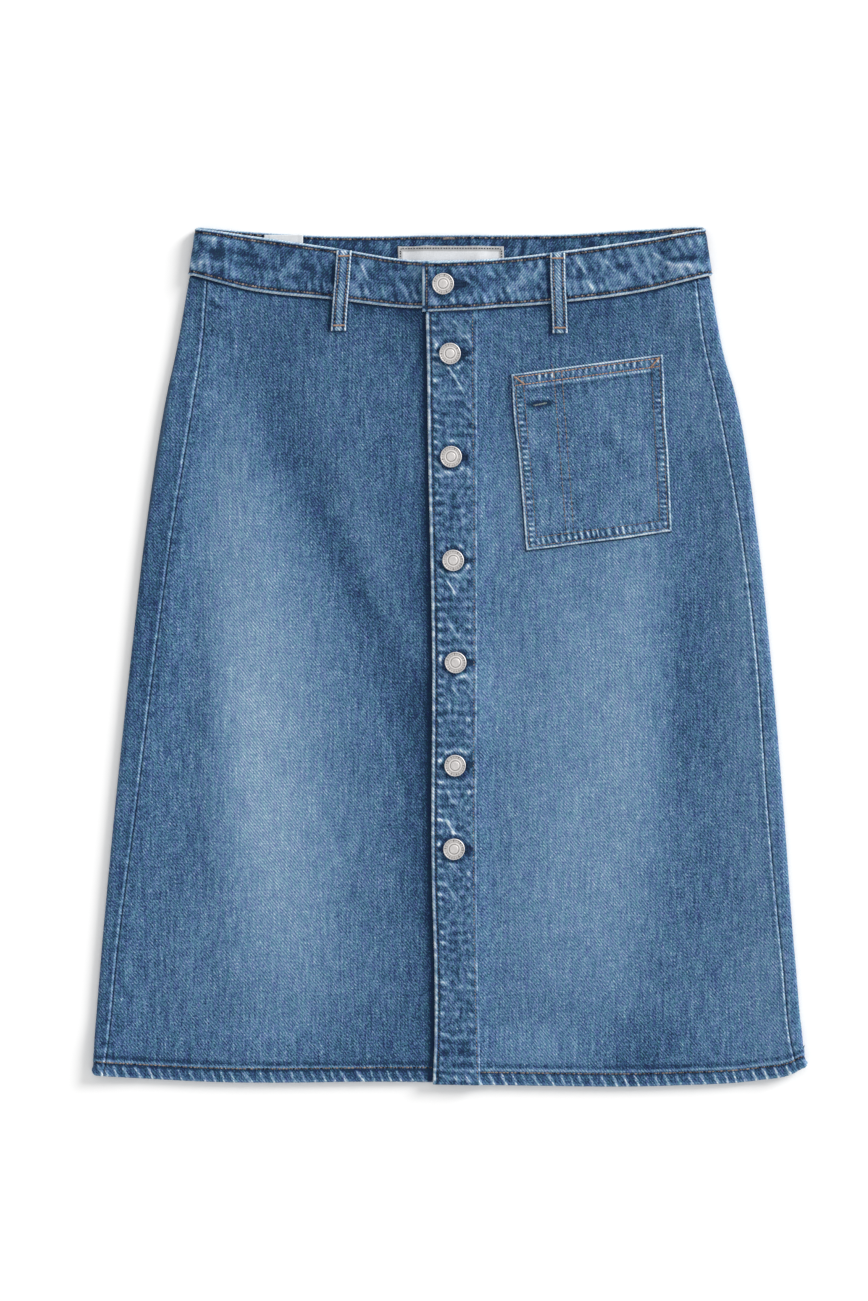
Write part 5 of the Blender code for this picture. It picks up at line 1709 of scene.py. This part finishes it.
# A button's turned profile in mm, and how bright its metal is there.
ProfileRow = namedtuple("ProfileRow", "radius height tone")
BUTTON_PROFILE = (
    ProfileRow(2.3, -1.2, 0.25),
    ProfileRow(2.3, 0.35, 0.30),
    ProfileRow(6.6, 0.30, 0.30),
    ProfileRow(8.1, 0.55, 0.45),
    ProfileRow(8.55, 0.95, 0.70),
    ProfileRow(8.65, 1.45, 0.90),
    ProfileRow(8.55, 1.95, 1.00),
    ProfileRow(8.30, 2.28, 1.00),
    ProfileRow(8.05, 2.38, 0.95),
    ProfileRow(7.85, 2.34, 0.80),
    ProfileRow(7.70, 2.18, 0.55),
    ProfileRow(7.50, 2.10, 0.72),
    ProfileRow(6.95, 2.12, 0.82),
    ProfileRow(6.40, 2.13, 0.84),
    ProfileRow(5.95, 2.12, 0.80),
    ProfileRow(5.70, 2.05, 0.55),
    ProfileRow(5.45, 2.12, 0.80),
    ProfileRow(5.20, 2.20, 0.96),
    ProfileRow(4.90, 2.23, 0.98),
    ProfileRow(4.60, 2.20, 0.90),
    ProfileRow(4.20, 2.12, 0.78),
    ProfileRow(3.90, 2.05, 0.45),
    ProfileRow(3.70, 2.07, 0.40),
    ProfileRow(3.50, 2.22, 0.80),
    ProfileRow(3.30, 2.30, 0.96),
    ProfileRow(2.70, 2.34, 0.90),
    ProfileRow(1.80, 2.33, 0.86),
    ProfileRow(0.90, 2.32, 0.86),
    ProfileRow(0.02, 2.31, 0.86),
)


def highest(surface, place, reach):
    """How high a surface comes under a button."""
    return max(float(surface(place.x, row_of(place.x, place.y + step))) for step in (-reach, 0.0, reach))


def add_button(place):
    """A turned cap with a plain ring of ticks, on its shank."""
    if place.node == "button_1":
        ground = float(band_over_surface(place.x, 0.5))
    else:
        ground = highest(over_surface, place, BUTTON_RADIUS) + GAP + STRIP
    ground += float(lift(place.x, place.y))
    angle = np.linspace(0, math.tau, BUTTON_SPOKES, endpoint=False)[None, :]
    radius, height, tone = np.array(BUTTON_PROFILE).T[..., None]
    radius = radius * MM * CAP_SHARE
    height = height * MM
    wobble = 1 + 0.006 * np.sin(2 * angle + place.turn * 3)
    beat = (angle + place.turn) * TICKS / math.tau
    strength = 0.6 + 0.4 * pick(np.floor(beat + 0.5), TICK_SEED + 1)
    tick = np.clip(np.cos(math.tau * beat) * 2.2 - 0.3, 0, 1) * strength * bell(radius, 6.7 * MM, 0.75 * MM)
    height = height + 0.10 * MM * tick + 0.04 * MM * np.cos(angle - 0.8 * place.turn) * radius / (8 * MM)
    x = place.x + radius * wobble * np.cos(angle)
    y = place.y + radius * wobble * np.sin(angle)
    turned = np.dstack([x, y, ground + height, tone - 0.58 * tick])
    closed = np.concatenate([turned, turned[:, :1]], axis=1)
    grid = Grid(closed[..., :3], closed[..., 3], 0)
    return grid_object(place.node.replace("button", "nickel_button"), grid, BUTTON_METAL)


# ---------------------------------------------------------------- threads

def ground_under(*objects):
    """A function that gives the height of the topmost of these objects at each place."""
    graph = bpy.context.evaluated_depsgraph_get()
    trees = [BVHTree.FromObject(thing, graph) for thing in objects]
    above = 0.05
    down = Vector((0, 0, -1))

    def height(x, y):
        found = [tree.ray_cast(Vector((x, y, above)), down)[0] for tree in trees]
        return max([point.z for point in found if point is not None], default=0.0)

    return height


# A stitch's rings: each one's share of the length, its thickness, and how deep it dips into the cloth.
StitchRing = namedtuple("StitchRing", "share swell dip")
STITCH_RINGS = (
    StitchRing(0.0, 0.25, 1.0),
    StitchRing(0.14, 0.85, 0.35),
    StitchRing(0.5, 1.0, 0.0),
    StitchRing(0.86, 0.85, 0.35),
    StitchRing(1.0, 0.25, 1.0),
)
STITCH_SIDES = 6
# The material's place round a thread is its angle over this, and it shifts by so much from stitch to stitch.
ANGLE_TO_PLACE = 9000
PLACE_SHIFT = 0.0137


def stitch_faces():
    """The faces of one capsule, with two quads that close each end."""
    last = (len(STITCH_RINGS) - 1) * STITCH_SIDES
    faces = []
    for ring in range(0, last, STITCH_SIDES):
        for side in range(STITCH_SIDES):
            following = (side + 1) % STITCH_SIDES
            above = ring + STITCH_SIDES
            faces.append((ring + side, ring + following, above + following, above + side))
    for a, b, c, d in ((0, 5, 4, 3), (0, 3, 2, 1)):
        faces.append((a, b, c, d))
        faces.append((last + d, last + c, last + b, last + a))
    return np.array(faces)


def capsules(starts, ends, ups, width, thickness, sag):
    """Points, faces and the material's places of stitches: flattened capsules that dip in at their ends."""
    starts, ends, ups = (np.asarray(places) for places in (starts, ends, ups))
    along = ends - starts
    length = np.linalg.norm(along, axis=1, keepdims=True)
    forward = along / np.maximum(length, TINY)
    side = np.cross(ups, forward)
    side /= np.maximum(np.linalg.norm(side, axis=1, keepdims=True), TINY)
    up = np.cross(forward, side)
    share, swell, dip = np.array(STITCH_RINGS).T
    angle = np.linspace(0, math.tau, STITCH_SIDES, endpoint=False)
    across = 0.5 * width * swell[:, None] * np.cos(angle)
    rise = 0.5 * thickness * swell[:, None] * np.sin(angle)
    starts, along, side, up = (vectors[:, None, None] for vectors in (starts, along, side, up))
    points = starts + along * share[:, None, None] - up * sag * dip[:, None, None]
    points = points + side * across[..., None] + up * rise[..., None]
    shape = points.shape[:3]
    number = np.arange(len(points))[:, None, None]
    along_thread = np.broadcast_to(share[:, None] * length[..., None], shape)
    round_thread = np.broadcast_to(angle / ANGLE_TO_PLACE, shape)
    place = np.stack([along_thread, round_thread, np.zeros(shape)], axis=-1) + number[..., None] * PLACE_SHIFT
    faces = stitch_faces() + number * len(STITCH_RINGS) * STITCH_SIDES
    return points.reshape(-1, 3), faces.reshape(-1, 4), place.reshape(-1, 3)


# Where the stitches' random draws start.
PITCH_SEED = 1000
LENGTH_SEED = 1100
STRAND_SEED = 1200
BAND_SEED = 1300


def uneven_middles(start, end, pitch, seed):
    """The middles of the stitches of a row, each a little out of its place."""
    middles = np.arange(start, end, pitch)
    return middles + 0.10 * pitch * pick(np.arange(len(middles)), seed)


class Threads:
    """Collects lengths of thread and joins them into one object."""

    def __init__(self, name, material):
        self.name = name
        self.material = material
        self.parts = []

    def add(self, starts, ends, ups=None, width=0.8 * MM, thickness=0.5 * MM, sag=0.25 * MM):
        if ups is None:
            ups = np.tile([0.0, 0.0, 1.0], (len(starts), 1))
        self.parts.append(capsules(starts, ends, ups, width, thickness, sag))

    def row(self, path, height, pitch, stitch, seed, proud=0.12 * MM, slant=0.0, **sizes):
        """Stitches along a path of (x, y) places, on the surface whose height is given."""
        along = lengths_along(path)
        middles = uneven_middles(0.5 * pitch, along[-1], pitch, PITCH_SEED + seed)
        lengths = stitch * (1 + 0.08 * pick(np.arange(len(middles)), LENGTH_SEED + seed))
        starts = sample(path, along, middles - 0.5 * lengths)
        ends = sample(path, along, middles + 0.5 * lengths)
        forward = ends - starts
        forward /= np.maximum(np.linalg.norm(forward, axis=1, keepdims=True), TINY)
        aside = slant * forward[:, ::-1] * (-1, 1)
        starts, ends = starts - aside, ends + aside
        low, middle, high = (
            np.array([height(*place) for place in places]) + proud
            for places in (starts, 0.5 * (starts + ends), ends)
        )
        rise = np.maximum(0, middle - 0.5 * (low + high))
        self.add(np.column_stack([starts, low + rise]), np.column_stack([ends, high + rise]), **sizes)

    def bar(self, start, end, height, width, seed, pitch=0.45 * MM, proud=0.25 * MM):
        """A bartack from start to end: close strands across it, each a little out of line."""
        start = np.asarray(start, dtype=float)
        end = np.asarray(end, dtype=float)
        length = np.linalg.norm(end - start)
        forward = (end - start) / length
        across = np.array([-forward[1], forward[0]])
        starts = []
        ends = []
        for k, share in enumerate(np.linspace(0, 1, int(length / pitch))):
            middle = mix(start, end, share)
            jitter = 0.10 * pick(k, STRAND_SEED + seed)
            a = middle - across * width * (0.5 + jitter) - forward * pitch * 0.4
            b = middle + across * width * (0.5 - jitter) + forward * pitch * 0.4
            top = height(*middle) + proud
            starts.append((*a, top))
            ends.append((*b, top))
        self.add(starts, ends, width=0.55 * MM, thickness=0.45 * MM, sag=0.3 * MM)

    def made(self):
        points = np.concatenate([part[0] for part in self.parts])
        places = np.concatenate([part[2] for part in self.parts])
        offset = 0
        faces = []
        for flat, corners, _ in self.parts:
            faces.append(corners + offset)
            offset += len(flat)
        return make_mesh(self.name, points, np.concatenate(faces), self.material, {"cloth": places})


def smooth_path(places):
    """A closely spaced path through places."""
    step = 2.0 * MM
    along = lengths_along(places)
    return sample(places, along, np.minimum(np.arange(0, along[-1] + step, step), along[-1]))


def band_row(height, depth):
    """The places and outward directions along one of the waistband's rows."""
    points = band_point(height, depth)[0]
    if depth < 0 and height > BAND_STITCH:
        on_back = STATIONS.kind == BACK
        points[on_back] = band_point(BAND_HEIGHT - BACK_STITCH, depth)[0][on_back]
    outer, inner = band_sides(height / BAND_HEIGHT)
    ups = (outer - inner) * depth
    return points, ups / np.linalg.norm(ups, axis=1, keepdims=True)


def band_stitches():
    """The waistband's rows: along both edges on both faces, and down the over end."""
    brown = Threads("stitches_waistband", BROWN_THREAD)
    pitch = 2.5 * MM
    proud = 0.14 * MM
    reach = 1.1 * MM
    for depth in (1.0, -1.0):
        for height in (BAND_STITCH, BAND_HEIGHT - BAND_STITCH):
            points, ups = band_row(height, depth)
            lengths = lengths_along(points)
            middles = uneven_middles(BAND_STITCH, lengths[-1] - BAND_STITCH, pitch, BAND_SEED)
            up = sample(ups, lengths, middles)
            # Underneath, on the surface it lies on, the stitches are deeper in the cloth.
            under = (np.interp(middles, lengths, STATIONS.kind) == BACK) & (depth > 0)
            raised = up * (proud - 0.10 * MM * under)[:, None]
            starts = sample(points, lengths, middles - reach)
            ends = sample(points, lengths, middles + reach)
            tilt = np.cross(up, ends - starts) * 0.22
            brown.add(starts + raised - tilt, ends + raised + tilt, up, width=1.55 * MM, sag=0.2 * MM)
    far = BAND_ALONG[-1] - BAND_STITCH
    heights = np.linspace(BAND_STITCH, BAND_HEIGHT - BAND_STITCH, 60)
    down_end = np.array([sample(band_point(height, 1.0)[0], BAND_ALONG, far) for height in heights])
    lengths = lengths_along(down_end)
    middles = np.arange(pitch, lengths[-1], pitch)
    starts = sample(down_end, lengths, middles - 1.0 * MM) + (0, 0, proud)
    ends = sample(down_end, lengths, middles + 1.0 * MM) + (0, 0, proud)
    brown.add(starts, ends, width=1.1 * MM, sag=0.2 * MM)
    return brown.made()


# Where the hem's row ends: at the sides of the fronts and of the back, and beside the placket, whose edges
# are taken at these heights.
HEM_ROW_LEFT = -0.2745
HEM_ROW_RIGHT = 0.2735
BACK_ROW_REACH = 0.268
LEFT_ROW_LEVEL = -0.31
RIGHT_ROW_LEVEL = -0.32


def hem_stitches(left_panel, right_panel, back_panel):
    """The hem's row on both fronts, and on the back's side that lies on the surface."""
    brown = Threads("stitches_hem", BROWN_THREAD)
    sizes = {"pitch": 3.0 * MM, "stitch": 2.8 * MM, "width": 1.3 * MM}
    x = np.linspace(HEM_ROW_LEFT, float(over_edge(LEFT_ROW_LEVEL)) - 1 * MM, 130)
    y = hem_line(x) + HEM_STITCH + 1.2 * MM + LEFT_HEM_SHORT * fade(-x, 0, SIDE_SETTLE * 4)
    brown.row(np.column_stack([x, y]), ground_under(left_panel, back_panel), seed=1, **sizes)
    x = np.linspace(float(placket_right(RIGHT_ROW_LEVEL)) - 1 * MM, HEM_ROW_RIGHT, 130)
    y = hem_line(x) + HEM_STITCH + 0.2 * MM
    brown.row(np.column_stack([x, y]), ground_under(right_panel, back_panel), seed=2, **sizes)
    x = np.linspace(-BACK_ROW_REACH, BACK_ROW_REACH, 400)
    y = hem_line(x) + BACK_HEM_SHORT + HEM_STITCH
    places = np.column_stack([x, y, np.full(len(x), 0.30 * MM)])
    starts, ends = places[:-3:3], places[2:-1:3]
    downs = np.broadcast_to((0.0, 0.0, -1.0), starts.shape)
    brown.add(starts, ends, downs, thickness=0.4 * MM, sag=-0.1 * MM)
    return brown.made()


def placket_stitches(placket):
    """Dark stitches just inside the placket's left edge, and tan ones along its right side."""
    ground = ground_under(placket)
    dark = Threads("stitches_placket", DARK_THREAD)
    tan = Threads("stitches_placket_right", TAN_THREAD)
    y = np.linspace(float(front_seam(0)) - OVER_DROP_AT_SEAM - 2 * MM, float(hem_line(0)) + 3 * MM, 300)
    left = np.column_stack([over_edge(y) - 0.3 * MM + PLACKET_STITCH_LEFT, y])
    dark.row(left, ground, pitch=2.3 * MM, stitch=1.7 * MM, slant=0.35 * MM, seed=3,
             width=0.80 * MM, thickness=0.42 * MM)
    right = np.column_stack([placket_right(y) - placket_row_inset(y), y])
    tan.row(right, ground, pitch=2.6 * MM, stitch=1.5 * MM, slant=0.1 * MM, seed=4,
            width=0.65 * MM, thickness=0.42 * MM)
    return dark.made(), tan.made()


PixelPlace = namedtuple("PixelPlace", "px py")
LOOSE_THREAD = PixelPlace(552, 370)
POCKET_SLIT = (PixelPlace(534, 405.4), PixelPlace(546, 403.2))
BACK_BARTACKS = (PixelPlace(449, 238.2), PixelPlace(678.5, 232.3))


def pocket_stitches(pocket, right_panel):
    """Twin rows round the pocket, its hem's rows, the pen slot, bartacks and a loose thread end."""
    ground = ground_under(pocket, right_panel)
    copper = Threads("stitches_pocket_top", COPPER_THREAD)
    worn = Threads("stitches_pocket", WORN_THREAD)

    width = POCKET_WIDTH
    depth = POCKET_DEPTH
    top, second = TOP_ROWS

    def line(threads, *places, seed, **sizes):
        path = [pocket_place(across / width, down / depth) for across, down in places]
        threads.row(smooth_path(path), ground, pitch=2.6 * MM, stitch=2.3 * MM, seed=seed, **sizes)

    for number, inset in enumerate(SIDE_ROWS):
        corners = ((inset, top), (inset, depth - inset), (width - inset, depth - inset), (width - inset, top))
        for side, ends in enumerate(zip(corners, corners[1:])):
            line(worn, *ends, seed=10 + 2 * side + number, width=0.62 * MM, thickness=0.42 * MM)
    for number, down in enumerate(TOP_ROWS):
        line(copper, (2 * MM, down), (width - 2 * MM, down), seed=16 + number, width=1.0 * MM)
    for number, across in enumerate(PEN_SLOT):
        line(worn, (across, second), (across, depth - second), seed=18 + number, width=0.7 * MM,
             thickness=0.4 * MM)
        line(copper, (across, top), (across, second), seed=20 + number, width=0.85 * MM)
    outer, inner = 2.0 * MM / width, 9.4 * MM / width
    for number, ends in enumerate(((outer, inner), (1 - outer, 1 - inner))):
        start, end = (pocket_place(across, down / depth) for across, down in zip(ends, (1.6 * MM, 8.4 * MM)))
        copper.bar(start, end, ground, width=1.5 * MM, seed=30 + number)
    tail_x, tail_y = at(*LOOSE_THREAD)
    tail = [(tail_x + 0.8 * MM * math.sin(k), tail_y + 1.2 * k * MM) for k in range(5)]
    for (x0, y0), (x1, y1) in zip(tail, tail[1:]):
        z0, z1 = ground(x0, y0) + 0.4 * MM, ground(x1, y1) + 0.4 * MM
        copper.add([(x0, y0, z0)], [(x1, y1, z1)], width=0.45 * MM, thickness=0.45 * MM, sag=0.0)
    return copper.made(), worn.made()


def pocket_slit(pocket):
    """The small stitched slit near the pocket's upper left corner."""
    ground = ground_under(pocket)
    pale = Threads("stitches_pocket_slit", PALE_THREAD)
    start, end = (at(*place) for place in POCKET_SLIT)
    pale.bar(start, end, ground, width=1.5 * MM, pitch=0.9 * MM, proud=0.15 * MM, seed=40)
    return pale.made()


def loop_stitches(loops, waistband):
    """Twin rows down each front belt loop, its two bartacks, and those of the back loops on the waistband."""
    brown = Threads("stitches_loops", BROWN_THREAD)
    copper = Threads("bartacks", COPPER_THREAD)
    ground = ground_under(*loops)
    for number, loop in enumerate(FRONT_LOOPS):
        top_y = float(front_top(loop.top_x)) - 1.4 * MM
        down = np.linspace(5.5 * MM, LOOP_LENGTH - 6.5 * MM, 60)
        middle = mix(loop.top_x, loop.bottom_x, down / LOOP_LENGTH)
        for side in (-1, 1):
            path = np.column_stack([middle + side * (LOOP_WIDTH / 2 - 2.3 * MM), top_y - down])
            brown.row(path, ground, pitch=2.1 * MM, stitch=1.7 * MM, seed=50 + number,
                      width=1.1 * MM, thickness=0.42 * MM)
        for down in (3.9 * MM, LOOP_LENGTH - 4.6 * MM):
            middle = mix(loop.top_x, loop.bottom_x, down / LOOP_LENGTH)
            start = (middle - LOOP_WIDTH / 2 + 1.5 * MM, top_y - down)
            end = (middle + LOOP_WIDTH / 2 - 1.5 * MM, top_y - down)
            copper.bar(start, end, ground, width=1.5 * MM, seed=60 + number)
    worn = Threads("bartacks_back", WORN_THREAD)
    ground = ground_under(waistband)
    for number, place in enumerate(BACK_BARTACKS):
        x, y = at(*place)
        lean = 0.9 * MM * number
        start, end = (x - 4.6 * MM, y - lean), (x + 4.6 * MM, y + lean)
        worn.bar(start, end, ground, width=2.2 * MM, seed=70 + number)
    return brown.made(), copper.made(), worn.made()


def label_stitches(main_label):
    """The dark row inside the main label's edge."""
    ground = ground_under(main_label)
    grey = Threads("stitches_label", GREY_THREAD)
    box = LABELS[0]
    inset = 1.9 * MM
    left, right = box.left + inset, box.right - inset
    top, low = box.top - inset, box.top - box.height + inset
    path = smooth_path([(left, low), (left, top), (right, top), (right, low)])
    grey.row(path, ground, pitch=2.1 * MM, stitch=1.6 * MM, seed=80, width=0.95 * MM, thickness=0.3 * MM,
             proud=0.08 * MM)
    return grey.made()


def buttonholes(waistband, placket):
    """The keyhole buttonholes' thread: close strands round each slit."""
    dark = Threads("buttonhole_threads", INDIGO_THREAD)
    band_ground, placket_ground = ground_under(waistband), ground_under(placket)
    for place in BUTTONS:
        on_band = place.node == "button_1"
        ground = band_ground if on_band else placket_ground
        begin = place.x + 4 * MM
        end = (BAND_SLIT_END if on_band else PLACKET_SLIT_END) - 1.6 * MM
        for side in (-1, 1):
            start = (begin, place.y + side * 1.25 * MM)
            finish = (end - 0.5 * MM, place.y + side * 1.25 * MM)
            dark.bar(start, finish, ground, width=1.5 * MM, pitch=0.5 * MM, seed=90, proud=0.12 * MM)
        dark.bar((end + 0.3 * MM, place.y + 1.9 * MM), (end + 0.3 * MM, place.y - 1.9 * MM), ground,
                 width=1.3 * MM, pitch=0.5 * MM, seed=95, proud=0.2 * MM)
    return dark.made()


# ---------------------------------------------------------------- floor, light and camera

def add_floor():
    reach = 12.0
    level = -0.05 * MM
    points = [(x * reach, y * reach, level) for x, y in ((-1, -1), (1, -1), (1, 1), (-1, 1))]
    n = Nodes("floor_white")
    n.shader.inputs["Base Color"].default_value = (0.93, 0.93, 0.93, 1.0)
    n.shader.inputs["Roughness"].default_value = 0.95
    n.shader.inputs["Specular IOR Level"].default_value = 0.0
    floor = make_mesh("floor", points, np.array([[0, 1, 2, 3]]), n.material)


def add_light():
    """A broad soft light from the upper right, low enough to show the weave's relief, in a white room."""
    lamp = bpy.data.lights.new("softbox", "SUN")
    lamp.energy = SUN_STRENGTH
    lamp.angle = SUN_SOFTNESS
    lamp.color = (1.0, 0.995, 0.985)
    made = bpy.data.objects.new("softbox", lamp)
    level = math.cos(SUN_HEIGHT)
    toward = Vector((level * math.cos(SUN_TURN), level * math.sin(SUN_TURN), math.sin(SUN_HEIGHT)))
    made.rotation_mode = "QUATERNION"
    made.rotation_quaternion = toward.to_track_quat("Z", "Y")
    made.location = toward * 3
    bpy.context.scene.collection.objects.link(made)
    world = bpy.data.worlds.new("white_room")
    world.use_nodes = True
    background = world.node_tree.nodes["Background"]
    background.inputs["Color"].default_value = (1.0, 1.0, 1.0, 1.0)
    background.inputs["Strength"].default_value = SKY_STRENGTH
    bpy.context.scene.world = world


LENS = 85.0
SENSOR = 36.0


def add_camera():
    """Straight above the skirt, so far that the photograph's height fills the frame."""
    camera = bpy.data.cameras.new("camera")
    camera.lens = LENS
    camera.sensor_width = SENSOR
    camera.sensor_fit = "AUTO"
    distance = IMAGE_HEIGHT * PIXEL * LENS / SENSOR
    camera.clip_end = 20.0
    made = bpy.data.objects.new("camera", camera)
    x, y = at(IMAGE_WIDTH / 2, IMAGE_HEIGHT / 2)
    made.location = (x, y, distance + 4 * MM)
    bpy.context.scene.collection.objects.link(made)
    bpy.context.scene.camera = made


# ---------------------------------------------------------------- the whole skirt

def ride(piece, slot, *nodes):
    """Puts a piece on the skirt's body in place of these nodes. Its slot is not used."""
    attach(piece, "root")
    if nodes:
        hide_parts(*nodes)
    return piece


def taper(top_width, low_width, length):
    """The cut of a piece that is narrower at the top: its flat size and its area."""
    return {"flat": (max(top_width, low_width), length), "area": 0.5 * (top_width + low_width) * length}


def back_width(row):
    """The back's width all round, from seam to seam, at a share of its length."""
    left, right = (float(x) for x in row_edges(row))
    left_seam, right_seam = (float(x) for x in row_seams(row))
    fold = math.pi * math.hypot(FOLD_INSET, 0.5 * float(fold_height(row))) / math.sqrt(2)
    on_top = (left_seam - left) + (right - right_seam) - 2 * FOLD_INSET
    return right - left - 2 * FOLD_INSET + 2 * fold + on_top


def declare_sheets():
    """Works out the cut of the fronts and the back, and the placket's width, from the outline's sizes;
    nothing uses them.
    """
    length = float(front_seam(0) - hem_line(0)) + HEM_HEIGHT
    over = [float(over_edge(front_y(0.0, row))) for row in (0, 1)]
    seams = [row_seams(row) for row in (0, 1)]
    left_cut = taper(*(edge + UNDER_PLACKET - float(seam[0]) for edge, seam in zip(over, seams)), length)
    right_cut = taper(*(float(seam[1]) - edge for edge, seam in zip(over, seams)), length)
    back_cut = taper(back_width(0), back_width(1), length)
    placket_width = max(float(placket_right(y) - over_edge(y)) for y in (0.26, 0.0, -0.33))


FRONT_LOOP_SEED = 30
BACK_LOOP_SEED = 40


def build():
    add_camera()
    add_light()
    add_floor()
    bpy.context.scene.view_settings.view_transform = "Standard"
    # The denoiser would otherwise smooth the yarns away.
    bpy.context.scene.cycles.denoising_prefilter = "NONE"

    left_panel = ride(add_left_panel(), "denim", "front_left_panel")
    right_panel = ride(add_right_panel(), "denim", "front_right_panel")
    back_panel = ride(add_back_panel(), "denim", "back_panel")
    panels = (left_panel, right_panel, back_panel)
    placket = ride(add_placket(), "denim", "button_placket")
    waistband = ride(add_waistband(), "denim", "waistband")
    pocket = ride(add_pocket(), "denim", "patch_pocket")
    front_loops = [
        ride(add_front_loop(loop, FRONT_LOOP_SEED + number), "denim", loop.name)
        for number, loop in enumerate(FRONT_LOOPS)
    ]
    back_loops = [
        ride(add_back_loop(loop, BACK_LOOP_SEED + number), "denim", loop.name)
        for number, loop in enumerate(BACK_LOOPS)
    ]
    main_label = ride(add_main_label(), "label", "main_label")
    side_label = ride(add_side_label(), "label", "side_label")
    for place in BUTTONS:
        ride(add_button(place), "button_metal", place.node)
    bpy.context.view_layer.update()
    threads = [band_stitches(), hem_stitches(*panels)]
    threads += [*placket_stitches(placket), *pocket_stitches(pocket, right_panel), pocket_slit(pocket)]
    threads += [*loop_stitches(front_loops, waistband), label_stitches(main_label)]
    threads += [buttonholes(waistband, placket)]
    for piece in threads:
        ride(piece, "thread")
    declare_sheets()


build()
